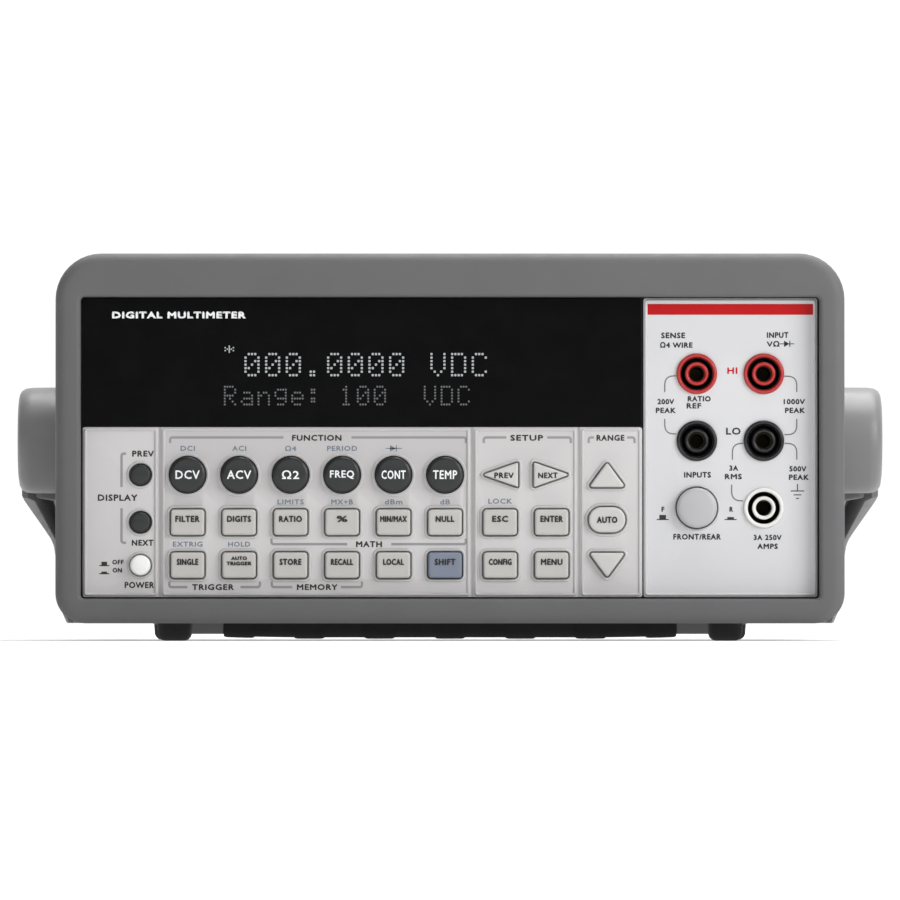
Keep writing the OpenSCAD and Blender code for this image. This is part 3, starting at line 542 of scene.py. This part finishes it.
def flat_key(node, outline, look, dish=0.1 * MM):
    """A moulded key with a rounded edge and a slightly dished top, and its rim on the panel."""
    low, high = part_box(node)
    centre = (low + high) / 2
    bm = bmesh.new()
    loft(bm, [at_depth(outline(FLANGE), FLANGE_BACK), at_depth(outline(FLANGE), FLANGE_FRONT)])
    cap(bm, outline, FLANGE_FRONT, low.y, edge=0.6 * MM, dish=dish)
    lathe(bm, centre.x, centre.z, [(STEM_R, high.y), (STEM_R, FLANGE_BACK)], segments=16)
    piece(node + "_cap", bm, LOOKS[look], node_body(node), replaces=(node,))
    collar(collars, outline, KEY_GAP, 0.85 * MM, PANEL_Y, 0.5 * MM)
    return low.y


for node, word in ROUND_KEYS.items():
    round_button(node, "dark_key", 0.75 * MM, word=word)

for node, (word, width) in RECT_KEYS.items():
    edges = edges_of(node, -FLANGE)
    look = "blue_key" if node == "shift_key" else "light_key"
    top = flat_key(node, lambda grow, e=edges: rect_outline(e, grow, 0.9 * MM), look)
    x, z = middle(node).x / MM, middle(node).z / MM
    words = [(word, x, z + 0.95, width, 1.85)]
    if node == "auto_trigger_key":
        words = [("AUTO", x, z + 2.0, 4.6, 1.15), ("TRIGGER", x, z + 0.5, 7.2, 1.15)]
    lettering(node + "_legend", INK_BLACK, words, top, node_body(node), weight=KEY_WEIGHT,
              deep=0.14)

for node, (turn, (width, height, tip)) in ARROW_KEYS.items():
    low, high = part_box(node)
    side = math.hypot(width / 2, height)
    tip_flange = FLANGE * side / (width / 2)
    lean = Vector((-math.sin(math.radians(turn)), math.cos(math.radians(turn))))
    centre = Vector(((low.x + high.x) / 2, (low.z + high.z) / 2)) - lean * (tip_flange - FLANGE) / 2
    flat_key(node, lambda grow, c=centre, t=turn, w=width, h=height, r=tip: triangle_outline(
        c.x, c.y, w, h, t, grow, r), "arrow_key", dish=0)

edges = edges_of("range_auto_key", -FLANGE)
top = flat_key("range_auto_key", lambda grow: rect_outline(edges, grow, 3.5 * MM, steps=10),
               "arrow_key")
spot = middle("range_auto_key")
lettering("range_auto_key_legend", INK_BLACK, [("AUTO", spot.x / MM, spot.z / MM, 5.9, 1.9)], top,
          "range_auto_key", weight=KEY_WEIGHT, deep=0.14)
for node, word, shift in (("setup_prev_key", "PREV", 1.9), ("setup_next_key", "NEXT", -1.9)):
    spot = middle(node)
    lettering(node + "_legend", INK_BLACK,
              [(word, spot.x / MM + shift, spot.z / MM - 0.2, 5.6, 1.7)],
              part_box(node)[0].y, node, weight=KEY_WEIGHT)

for node in ("display_prev_key", "display_next_key"):
    round_button(node, "dark_key", 0.8 * MM)
round_button("power_button", "white_key", 0.7 * MM, belly=0.4 * MM)
round_button("input_selector_button", "selector_plastic", 0.5 * MM, belly=0.6 * MM)

piece("key_rims", collars, LOOKS["keypad_plastic"])

# Raised beads round the four fields of the keypad and round the terminal panel
BEAD_INSET, BEAD_W, BEAD_CORNER = 1.15 * MM, 0.95 * MM, 1.2 * MM
beads = bmesh.new()
KEYPAD_LOW, KEYPAD_HIGH = 12.5 * MM, 60.7 * MM
for left, right in ((-104.3, -82.8), (-82.0, 5.9), (6.7, 36.2), (37.0, 54.6)):
    field = (left * MM, KEYPAD_LOW, right * MM, KEYPAD_HIGH)
    collar(beads, lambda grow, f=field: rect_outline(f, grow, BEAD_CORNER), -BEAD_INSET, BEAD_W,
           PANEL_Y, 0.45 * MM)
piece("keypad_beads", beads, LOOKS["keypad_plastic"])
beads = bmesh.new()
field = edges_of("terminal_panel")
collar(beads, lambda grow: rect_outline(field, grow, BEAD_CORNER), -BEAD_INSET, BEAD_W, PANEL_Y,
       0.5 * MM)
piece("terminal_bead", beads, LOOKS["terminal_plastic"])


# ------------------------------------------------------------------ sockets

JACK_X = sorted({round(m["pos_m"][0], 6) for m in frame["record"]["mounts"]
                 if m["kind"] == "bore"})
JACK_Z = sorted({round(m["pos_m"][2], 6) for m in frame["record"]["mounts"]
                 if m["kind"] == "bore"}, reverse=True)


def sockets(node, look, places, rim):
    """Insulators of the sockets on both panels: a rolled outer rim, a deep gap and a core."""
    bm = bmesh.new()
    for x, z in places:
        for face, inwards in ((PANEL_Y, 1), (REAR_FACE_Y, -1)):
            outline = [(5.75, 27.9), (5.75, -0.55), (5.62, -0.82), (5.35, -0.97), (5.0, -0.97),
                       (5.75 - rim + 0.1, -0.85), (5.75 - rim, -0.55), (4.56, 0.6), (4.55, 24),
                       (3.3, 24), (3.3, -0.2), (3.18, -0.42), (2.95, -0.5), (2.6, -0.45),
                       (2.4, -0.2), (2.25, 0.4), (2.25, 4.1), (2.6, 4.1), (2.6, 27.9)]
            profile = [(r * MM, face + inwards * y * MM) for r, y in outline]
            lathe(bm, x, z, profile, closed=True, segments=56)
    piece(node + "_turned", bm, LOOKS[look], replaces=(node,), sharp=50)


sockets("red_terminals", "red_plastic", [(JACK_X[0], JACK_Z[0]), (JACK_X[1], JACK_Z[0])], 1.0)
sockets("black_terminals", "black_plastic", [(JACK_X[0], JACK_Z[1]), (JACK_X[1], JACK_Z[1])], 1.0)
sockets("current_terminals", "white_plastic", [(JACK_X[1], JACK_Z[2])], 1.15)

# Thin dark cups deep in the sockets, over the walls of the gap round each core: painted shade in
# the gap, which also keeps light out
shade_cups = bmesh.new()
for x, z in [(x, z) for x in JACK_X for z in JACK_Z[:2]] + [(JACK_X[1], JACK_Z[2])]:
    for face, inwards in ((PANEL_Y, 1), (REAR_FACE_Y, -1)):
        ring = [(4.52, 0.7), (4.52, 20), (3.33, 20), (3.33, 0.7), (3.4, 0.7), (3.4, 19.9),
                (4.45, 19.9), (4.45, 0.7)]
        lathe(shade_cups, x, z, [(r * MM, face + inwards * y * MM) for r, y in ring], closed=True)
piece("socket_shade_cups", shade_cups, LOOKS["inlet_plastic"], sharp=50)


# ------------------------------------------------------------------ printing

INK_Y = PANEL_Y
lettering("field_names", INK_BLACK, [
    ("FUNCTION", -37.85, 57.7, 14.1, 1.75), ("SETUP", 21.8, 57.7, 9.4, 1.75),
    ("RANGE", 45.6, 57.7, 8.0, 1.75), ("MATH", -23, 27.5, 7.4, 1.75),
    ("TRIGGER", -67.3, 15.3, 12, 1.75), ("MEMORY", -37.7, 15.3, 11.6, 1.75),
    ("PREV", -87.2, 53.2, 6.2, 1.75), ("NEXT", -87.3, 27.9, 6.2, 1.75),
    ("DISPLAY", -94.4, 40.7, 11.3, 1.9), ("POWER", -88.2, 15.9, 8.45, 1.85),
    ("OFF", -94.3, 22.4, 3.3, 1.4), ("ON", -94.5, 20.1, 2.7, 1.4),
], INK_Y)
lettering("second_functions", INK_BLUE, [
    ("DCI", COLUMNS[0] / MM, 54.7, 4.1, 1.5), ("ACI", COLUMNS[1] / MM, 54.7, 4.05, 1.5),
    ("Ω4", COLUMNS[2] / MM, 54.7, 3.2, 1.5), ("PERIOD", COLUMNS[3] / MM, 54.7, 8.6, 1.5),
    ("LIMITS", COLUMNS[2] / MM, 39.5, 7.5, 1.5), ("MX+B", COLUMNS[3] / MM, 39.5, 6.2, 1.5),
    ("dBm", COLUMNS[4] / MM, 39.5, 5.1, 1.5), ("dB", COLUMNS[5] / MM, 39.5, 2.9, 1.5),
    ("EXTRIG", COLUMNS[0] / MM, 27.5, 8.45, 1.5), ("HOLD", COLUMNS[1] / MM, 27.5, 6.3, 1.5),
    ("LOCK", SETUP[0] / MM, 39.7, 6.8, 1.5),
], INK_Y, weight=BLUE_WEIGHT)
lettering("terminal_names", INK_BLACK, [
    ("SENSE", 63.4, 86.8, 6.9, 1.7), ("Ω4 WIRE", 64.3, 84.1, 9.3, 1.7),
    ("INPUT", 93.1, 86.9, 6.2, 1.7), ("VΩ", 91.8, 84.4, 3.7, 1.7),
    ("LO", 80.5, 59.6, 4.2, 2.1), ("RATIO", 70.8, 68.8, 6.6, 1.6), ("REF", 69.3, 66.8, 4.2, 1.6),
    ("200V", 61.3, 68, 4.8, 1.6), ("PEAK", 61.3, 65.5, 5.7, 1.6), ("1000V", 97.8, 68, 6.1, 1.6),
    ("PEAK", 98.0, 65.5, 5.7, 1.6), ("INPUTS", 70.3, 47.2, 7.7, 1.7), ("3A", 80.6, 49.1, 2.6, 1.6),
    ("RMS", 80.5, 46.7, 4.9, 1.6), ("500V", 98.8, 48.9, 4.9, 1.6), ("PEAK", 99.1, 46.5, 5.7, 1.6),
    ("FRONT/REAR", 70.2, 29.6, 13.6, 1.7), ("3A 250V", 90.2, 29.4, 8.0, 1.6),
    ("AMPS", 90.2, 26.9, 5.9, 1.6), ("F", 60.5, 37.4, 0.9, 1.5), ("R", 79.9, 37.4, 1.1, 1.5),
], INK_Y)
lettering("hi_name", INK_RED, [("HI", 80.2, 76.8, 2.9, 1.9)], INK_Y)
lettering("title", INK_WHITE, [("DIGITAL MULTIMETER", -77, 92.6, 38, 2.0)], INK_Y,
          weight=TITLE_WEIGHT)

# Red stripe across the top of the terminal panel
stripe = bmesh.new()
ribbon(stripe, [(55.9 * MM, 94.2 * MM), (103.4 * MM, 94.2 * MM)], 3.1 * MM, INK_Y)
piece("red_stripe", stripe, INK_RED)

# Brackets that group the keys
brackets = bmesh.new()
for corners in (
    ((-79.5, 56.2), (-79.5, 57.8), (-47.3, 57.8)), ((-28, 57.8), (4.5, 57.8), (4.5, 56.2)),
    ((9.6, 56.2), (9.6, 57.8), (16.0, 57.8)), ((27.6, 57.8), (34.3, 57.8), (34.3, 56.2)),
    ((39.4, 56.2), (39.4, 57.8), (40.9, 57.8)), ((50.3, 57.8), (52.4, 57.8), (52.4, 56.2)),
    ((-50.7, 29.1), (-50.7, 27.5), (-29.2, 27.5)), ((-16.7, 27.5), (4.5, 27.5), (4.5, 29.1)),
    ((-79.7, 16.9), (-79.7, 15.3), (-74.6, 15.3)), ((-59.5, 15.3), (-54, 15.3), (-54, 16.9)),
    ((-50.6, 16.9), (-50.6, 15.3), (-44.8, 15.3)), ((-31, 15.3), (-25, 15.3), (-25, 16.9)),
    ((-92.0, 53.2), (-93.3, 53.2), (-93.3, 43.7)), ((-93.3, 37.7), (-93.3, 27.9), (-92.0, 27.9)),
):
    line = bent_line(*[(x * MM, z * MM) for x, z in corners], radius=0.7 * MM)
    ribbon(brackets, line, 0.7 * MM, INK_Y)
piece("key_brackets", brackets, INK_GREY)

# Thin lines from the sockets to their ratings
leaders = bmesh.new()
for corners in (
    ((64.2, 75.3), (61.0, 75.3), (61.0, 70.7)), ((61.0, 63.1), (61.0, 58.8), (64.2, 58.8)),
    ((95.0, 75.2), (98.5, 75.2), (98.5, 70.7)), ((98.5, 63.1), (98.5, 58.6), (95.0, 58.6)),
    ((95.0, 56.1), (98.5, 56.1), (98.5, 51.5)), ((83.2, 56.1), (80.2, 56.1), (80.2, 51.5)),
    ((80.0, 44.4), (80.0, 39.8), (83.2, 39.8)),
):
    line = bent_line(*[(x * MM, z * MM) for x, z in corners], radius=2.6 * MM)
    ribbon(leaders, line, 0.36 * MM, INK_Y)
piece("rating_lines", leaders, INK_LINE)

# Symbols: earth, diode, and pressed and released buttons
symbols = bmesh.new()


def line_mm(points, width, bm=symbols):
    ribbon(bm, [(x * MM, z * MM) for x, z in points], width * MM, INK_Y)


def diode_mark(bm, x, z, half, tail, step, stroke, bar):
    """A wire with an arrowhead, shaded by seven upright strokes, that points at a bar."""
    line_mm([(x - half, z), (x + half, z)], 0.25, bm)
    for i in range(7):
        across, up = x - tail + step * i, 0.85 - 0.12 * i
        line_mm([(across, z - up), (across, z + up)], stroke, bm)
    line_mm([(x + 0.75, z - 0.9), (x + 0.75, z + 0.9)], bar, bm)


line_mm([(98.7, 44.6), (98.7, 42.7)], 0.28)
for half, z in ((1.9, 42.6), (1.1, 41.5), (0.45, 40.5)):
    line_mm([(98.7 - half, z), (98.7 + half, z)], 0.3)
diode_mark(symbols, 95.8, 84.4, 2.0, 0.8, 0.2, 0.22, 0.28)
for x, z, high in ((60.4, 35.0, 1.3), (79.7, 35.0, 0.7), (-98.2, 21.9, 1.1), (-98.2, 19.6, 0.6)):
    wide = 1.0 if x > 0 else 0.85
    line_mm([(x - 1.7 * wide, z - 0.5), (x + 1.7 * wide, z - 0.5)], 0.3)
    line_mm([(x, z - 0.5), (x, z - 0.5 + high)], 1.9 * wide)
piece("panel_symbols", symbols, INK_BLACK)

diode = bmesh.new()
diode_mark(diode, COLUMNS[4] / MM, 54.7, 2.3, 0.9, 0.22, 0.24, 0.3)
piece("diode_symbol", diode, INK_BLUE)


# ------------------------------------------------------------------ readout

DOTS = {
    "0": ("01110", "10001", "10011", "10101", "11001", "10001", "01110"),
    "1": ("00100", "01100", "00100", "00100", "00100", "00100", "01110"),
    ".": ("00000", "00000", "00000", "00000", "00000", "01100", "01100"),
    "V": ("10001", "10001", "10001", "10001", "10001", "01010", "00100"),
    "D": ("11110", "10001", "10001", "10001", "10001", "10001", "11110"),
    "C": ("01110", "10001", "10000", "10000", "10000", "10001", "01110"),
    "R": ("11110", "10001", "10001", "11110", "10100", "10010", "10001"),
    "a": ("00000", "00000", "01110", "00001", "01111", "10001", "01111"),
    "n": ("00000", "00000", "10110", "11001", "10001", "10001", "10001"),
    "g": ("00000", "01111", "10001", "10001", "01111", "00001", "01110"),
    "e": ("00000", "00000", "01110", "10001", "11111", "10000", "01110"),
    ":": ("00000", "01100", "01100", "00000", "01100", "01100", "00000"),
    "*": ("00100", "10101", "01110", "10101", "00100"),
}


def readout(name, look, letters, pitch_x, pitch_z, dot):
    """Small round-cornered dots in the shape of letters. Each is (letter, x, z of its middle)."""
    bm = bmesh.new()
    for letter, x, z in letters:
        rows = DOTS[letter]
        for j, row in enumerate(rows):
            for i, lit in enumerate(row):
                if lit == "1":
                    spot_x = (x + (i - 2) * pitch_x) * MM
                    spot_z = (z + ((len(rows) - 1) / 2 - j) * pitch_z) * MM
                    edge = (spot_x - dot / 2 * MM, spot_z - dot / 2 * MM,
                            spot_x + dot / 2 * MM, spot_z + dot / 2 * MM)
                    loft(bm, [at_depth(rect_outline(edge, 0, 0.12 * MM, steps=2), y)
                              for y in (PANEL_Y + 0.02 * MM, PANEL_Y - 0.02 * MM)])
    piece(name, bm, look, sharp=20)


readout("readout_star", DOT_BRIGHT, [("*", -62.7, 82.9)], 0.58, 0.42, 0.4)
main_line = [(c, -56.25 + 5.87 * i, 78.5) for i, c in enumerate("000.0000 VDC") if c != " "]
readout("readout_value", DOT_BRIGHT, main_line, 0.92, 1.0, 0.62)
range_line = [(c, -62.5 + 4.79 * i, 69.7) for i, c in enumerate("Range:") if c != " "]
range_line += [(c, -29.5 + 4.79 * i, 69.7) for i, c in enumerate("100")]
range_line += [(c, -5.7 + 4.79 * i, 69.7) for i, c in enumerate("VDC")]
readout("readout_range", DOT_DIM, range_line, 0.74, 0.84, 0.5)


# ------------------------------------------------------------------ handle

HUB_Y, HUB_Z = -57.5 * MM, 58.5 * MM
ARM_IN, ARM_OUT, ARM_LEAN = 112.6, 117.4, 3.4
CORNER_X, CORNER_Y, CORNER_R, ELBOW_Y = 92.0, 73.0, 22.0, 60.0


BAR_TOP, BAR_SHOULDER, BAR_END = 9.3, 1.75, 5.1
ARM_TOP_LINE = ((-57.5, 71.5), (77, BAR_TOP))
ARM_BOTTOM_LINE = ((-59.5, 45.5), (45, BAR_END))


def height_on(line, y):
    """Height at y of the straight line through two (y, z) points."""
    (start, high), (end, low) = line
    return high + (y - start) * (low - high) / (end - start)


def arm_top(y):
    return max(BAR_TOP, height_on(ARM_TOP_LINE, y))


def arm_bottom(x, y):
    """The underside: it falls along the arm, and dips towards the middle of the crossbar."""
    bar = BAR_SHOULDER + (BAR_END - BAR_SHOULDER) * min(1, max(0, (x - 80) / 11))
    return max(bar, height_on(ARM_BOTTOM_LINE, y))


def arm_section(outer, inner, groove):
    """A closed loop across the handle between two plan points, grooved from below.

    Points run down the outer wall, under it, up and down the groove, and up the inner wall.
    """
    def at(u, v):
        x = outer[0] + (inner[0] - outer[0]) * u
        y = outer[1] + (inner[1] - outer[1]) * u
        low, high = arm_bottom(x, y), arm_top(y)
        return (x * MM, y * MM, (low + (high - low) * v) * MM)

    wide = math.dist(outer, inner)
    high = arm_top(outer[1]) - arm_bottom(*outer)
    du, dv = min(1.3 / wide, 0.4), min(1.3 / high, 0.4)
    flat = [(du, 1), (0.3 * du, 1 - 0.3 * dv), (0, 1 - dv), (0, 0.5), (0, dv / 2),
            (0.15 * du, 0.15 * dv), (du / 2, 0), (0.26, 0), (0.30, 0.02 * groove + 0.001),
            (0.34, 0.33 * groove + 0.002), (0.50, 0.36 * groove + 0.003),
            (0.66, 0.33 * groove + 0.002), (0.70, 0.02 * groove + 0.001), (0.76, 0),
            (1 - du / 2, 0), (1 - 0.15 * du, 0.15 * dv), (1, dv / 2), (1, 0.5), (1, 1 - dv),
            (1 - 0.3 * du, 1 - 0.3 * dv), (1 - du, 1), (0.5, 1)]
    return [at(u, v) for u, v in flat]


def handle_half():
    """Plan points of one side, from the hub to the middle of the crossbar: outer, inner, groove."""
    steps = [((125.5, -50), (119.6, -50), 0.6)]
    for y, out in ((-47.4, 125.1), (-41, 123.6), (-34, 121.9), (-26, 120.0), (-19, 118.4),
                   (-13, 117.6), (-6, ARM_OUT), (10, ARM_OUT), (28, ARM_OUT), (35, ARM_OUT),
                   (45, ARM_OUT - 0.4 * ARM_LEAN), (52, ARM_OUT - 0.68 * ARM_LEAN),
                   (ELBOW_Y, ARM_OUT - ARM_LEAN)):
        lean = ARM_LEAN * max(0, (y - 45) / (ELBOW_Y - 45))
        steps.append(((out, y), (ARM_IN - lean, y), 1.0))
    end_in, end_out = ARM_IN - ARM_LEAN, ARM_OUT - ARM_LEAN
    straight = CORNER_Y - ELBOW_Y
    for i in range(1, 13):
        t = i / 12
        inner = (end_in + (CORNER_X - end_in) * t, ELBOW_Y + straight * t)
        run = t * (straight + CORNER_R * math.pi / 2)
        if run <= straight:
            outer = (end_out, ELBOW_Y + run)
        else:
            turn = (run - straight) / CORNER_R
            outer = (CORNER_X + CORNER_R * math.cos(turn), CORNER_Y + CORNER_R * math.sin(turn))
        steps.append((outer, inner, max(0.0, 1 - 2.2 * t)))
    for x in (91.0, 89.0, 86.5, 84.0, 81.5, 80.0, 77.5, 69.1):
        steps.append(((x, CORNER_Y + CORNER_R), (x, CORNER_Y), 0.0))
    return steps


def turn_x(bm, y, z, profile, closed=False, segments=64):
    """Turns (radius, x) pairs about a line along X through (y, z)."""
    loops = [[(x, y + radius * math.cos(2 * math.pi * i / segments),
               z + radius * math.sin(2 * math.pi * i / segments)) for i in range(segments)]
             for radius, x in profile]
    loft(bm, loops, closed=closed)


bm = bmesh.new()
for side in (-1, 1):
    loops = [[(side * x, y, z) for x, y, z in arm_section(*step)] for step in handle_half()]
    loft(bm, loops)
    hub = [(0.01, 119.3), (9.6, 119.3), (9.6, 107.4), (15.0, 107.4), (15.35, 107.7),
           (15.45, 110), (15.5, 116), (15.45, 122), (15.2, 123.9), (14.5, 125.1), (13.4, 125.75),
           (11.5, 126.05), (7, 126.22), (0.01, 126.3)]
    turn_x(bm, HUB_Y, HUB_Z, [(r * MM, side * x * MM) for r, x in hub])
# Core of the crossbar, inside the grip
core_low, core_high = Vector((-70 * MM, 77 * MM, 2.9 * MM)), Vector((70 * MM, 91 * MM, 7.3 * MM))
section = rect_outline((core_low.y, core_low.z, core_high.y, core_high.z), 0, 0.6 * MM, steps=3)
loft(bm, [[(x, y, z) for y, z in section] for x in (core_low.x, core_high.x)])
piece("handle_moulding", bm, LOOKS["handle_plastic"], "handle",
      replaces=("handle_frame",), sharp=35)

# Rubber grip: seven bands that stand a little proud, flat below and a touch thinner at its ends
bm = bmesh.new()
half_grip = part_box("handle_grip")[1].x
band_w, bands = 9.2 * MM, 7
pitch = (2 * half_grip - band_w) / (bands - 1)
loops = []


def grip_loop(x, proud):
    thin = 0.5 * MM * max(0, (abs(x) - 0.6 * half_grip) / (0.4 * half_grip)) ** 2
    edge = (CORNER_Y * MM - proud, 0.7 * MM + thin - proud, 95 * MM + proud, 9.3 * MM + proud)
    return [(x, y, z) for y, z in rect_outline(edge, 0, 2.2 * MM, 2.6 * MM, steps=6)]


for i in range(bands):
    start = -half_grip + i * pitch
    for x, proud in ((0, 0.0), (0.35 * MM, 0.28 * MM), (1.0 * MM, 0.4 * MM),
                     (band_w / 2, 0.42 * MM), (band_w - 1.0 * MM, 0.4 * MM),
                     (band_w - 0.35 * MM, 0.28 * MM), (band_w, 0.0)):
        loops.append(grip_loop(start + x, proud))
    if i < bands - 1:
        for t in (0.15, 0.5, 0.85):
            loops.append(grip_loop(start + band_w + t * (pitch - band_w), 0.0))
loft(bm, loops)
piece("handle_grip_rubber", bm, LOOKS["grip_rubber"], "handle",
      replaces=("handle_grip",), sharp=35)


# ------------------------------------------------------------------ feet

FRONT_FOOT, REAR_FOOT = (79.5 * MM, -94.5 * MM), (86 * MM, 108.5 * MM)
FOOT_W, FOOT_L = 10 * MM, 22 * MM
bm = bmesh.new()
for side in (-1, 1):
    for x, y in (FRONT_FOOT, REAR_FOOT):
        edge = (side * x - FOOT_W / 2, y - FOOT_L / 2, side * x + FOOT_W / 2, y + FOOT_L / 2)
        rings = [(0.0, 10.4), (0.0, 6), (0.15, 3.5)]
        rings += [(0.15 + 2.2 * (1 - math.cos(math.radians(a))),
                   2.6 * (1 - math.sin(math.radians(a)))) for a in (20, 40, 60, 75, 90)]
        loft(bm, [[(px, py, z * MM) for px, py in rect_outline(edge, -inset * MM, 3 * MM, steps=6)]
                  for inset, z in rings])
piece("rubber_feet", bm, LOOKS["foot_rubber"], replaces=("feet",), sharp=50)


# ------------------------------------------------------------------ floor, light and camera

def stage_plane(name, size, place, look, turn=(0, 0, 0)):
    bm = bmesh.new()
    bmesh.ops.create_grid(bm, x_segments=1, y_segments=1, size=size / 2)
    mesh = bpy.data.meshes.new(name)
    bm.to_mesh(mesh)
    bm.free()
    mesh.materials.append(look)
    made = bpy.data.objects.new(name, mesh)
    made.location = place
    made.rotation_euler = turn
    bpy.context.scene.collection.objects.link(made)
    return made


def softbox(name, place, aim, size_x, size_y, power):
    lamp = bpy.data.lights.new(name, "AREA")
    lamp.shape = "RECTANGLE"
    lamp.size, lamp.size_y = size_x, size_y
    lamp.energy = power
    made = bpy.data.objects.new(name, lamp)
    made.location = place
    made.rotation_euler = (Vector(aim) - Vector(place)).to_track_quat("-Z", "Y").to_euler()
    bpy.context.scene.collection.objects.link(made)
    return made


# The floor glows more and more away from the object, so it stays as pale as the backdrop
floor_look = material("floor", srgb(184, 184, 184), 0.85, grain=3, bump=0.02, vary=0.004)
floor_tree = floor_look.node_tree
floor_place = floor_tree.nodes.new("ShaderNodeTexCoord")
floor_reach = floor_tree.nodes.new("ShaderNodeVectorMath")
floor_reach.operation = "LENGTH"
floor_glow = floor_tree.nodes.new("ShaderNodeMapRange")
floor_glow.interpolation_type = "SMOOTHSTEP"
for socket, value in (("From Min", 0.35), ("From Max", 1.5), ("To Min", 0.36), ("To Max", 1.0)):
    floor_glow.inputs[socket].default_value = value
floor_shader = floor_tree.nodes["Principled BSDF"]
floor_shader.inputs["Emission Color"].default_value = (1, 1, 1, 1)
floor_tree.links.new(floor_place.outputs["Object"], floor_reach.inputs[0])
floor_tree.links.new(floor_reach.outputs["Value"], floor_glow.inputs["Value"])
floor_tree.links.new(floor_glow.outputs["Result"], floor_shader.inputs["Emission Strength"])
stage_plane("floor", 40, (0, 0, 0), floor_look)
stage_plane("backdrop", 40, (0, 14, 19.9), glow("backdrop", (1, 1, 1, 1), 1.0),
            (math.radians(90), 0, 0))

softbox("top_light", (0.2, 0.1, 1.3), (0.03, 0, 0.05), 1.3, 1.0, 26)
softbox("right_light", (0.6, -0.62, 0.33), (0.03, -0.15, 0.05), 0.4, 0.4, 3.4)
softbox("front_light", (-0.2, -2.4, 0.8), (0, -0.15, 0.05), 1.6, 1.0, 6)

world = bpy.data.worlds.new("studio")
world.use_nodes = True
world.node_tree.nodes["Background"].inputs["Color"].default_value = (1, 1, 1, 1)
world.node_tree.nodes["Background"].inputs["Strength"].default_value = 0.2
scene = bpy.context.scene
scene.world = world
scene.view_settings.view_transform = "Standard"

CAMERA_BACK = 3.0
lens = bpy.data.cameras.new("camera")
lens.lens = 36 * CAMERA_BACK / 0.25515
lens.clip_end = 100
camera = bpy.data.objects.new("camera", lens)
camera.location = (0, FRONT_Y - CAMERA_BACK, 5 * MM)
camera.rotation_euler = (Vector((0, FRONT_Y, 54.15 * MM)) - camera.location).to_track_quat(
    "-Z", "Y").to_euler()
scene.collection.objects.link(camera)
scene.camera = camera
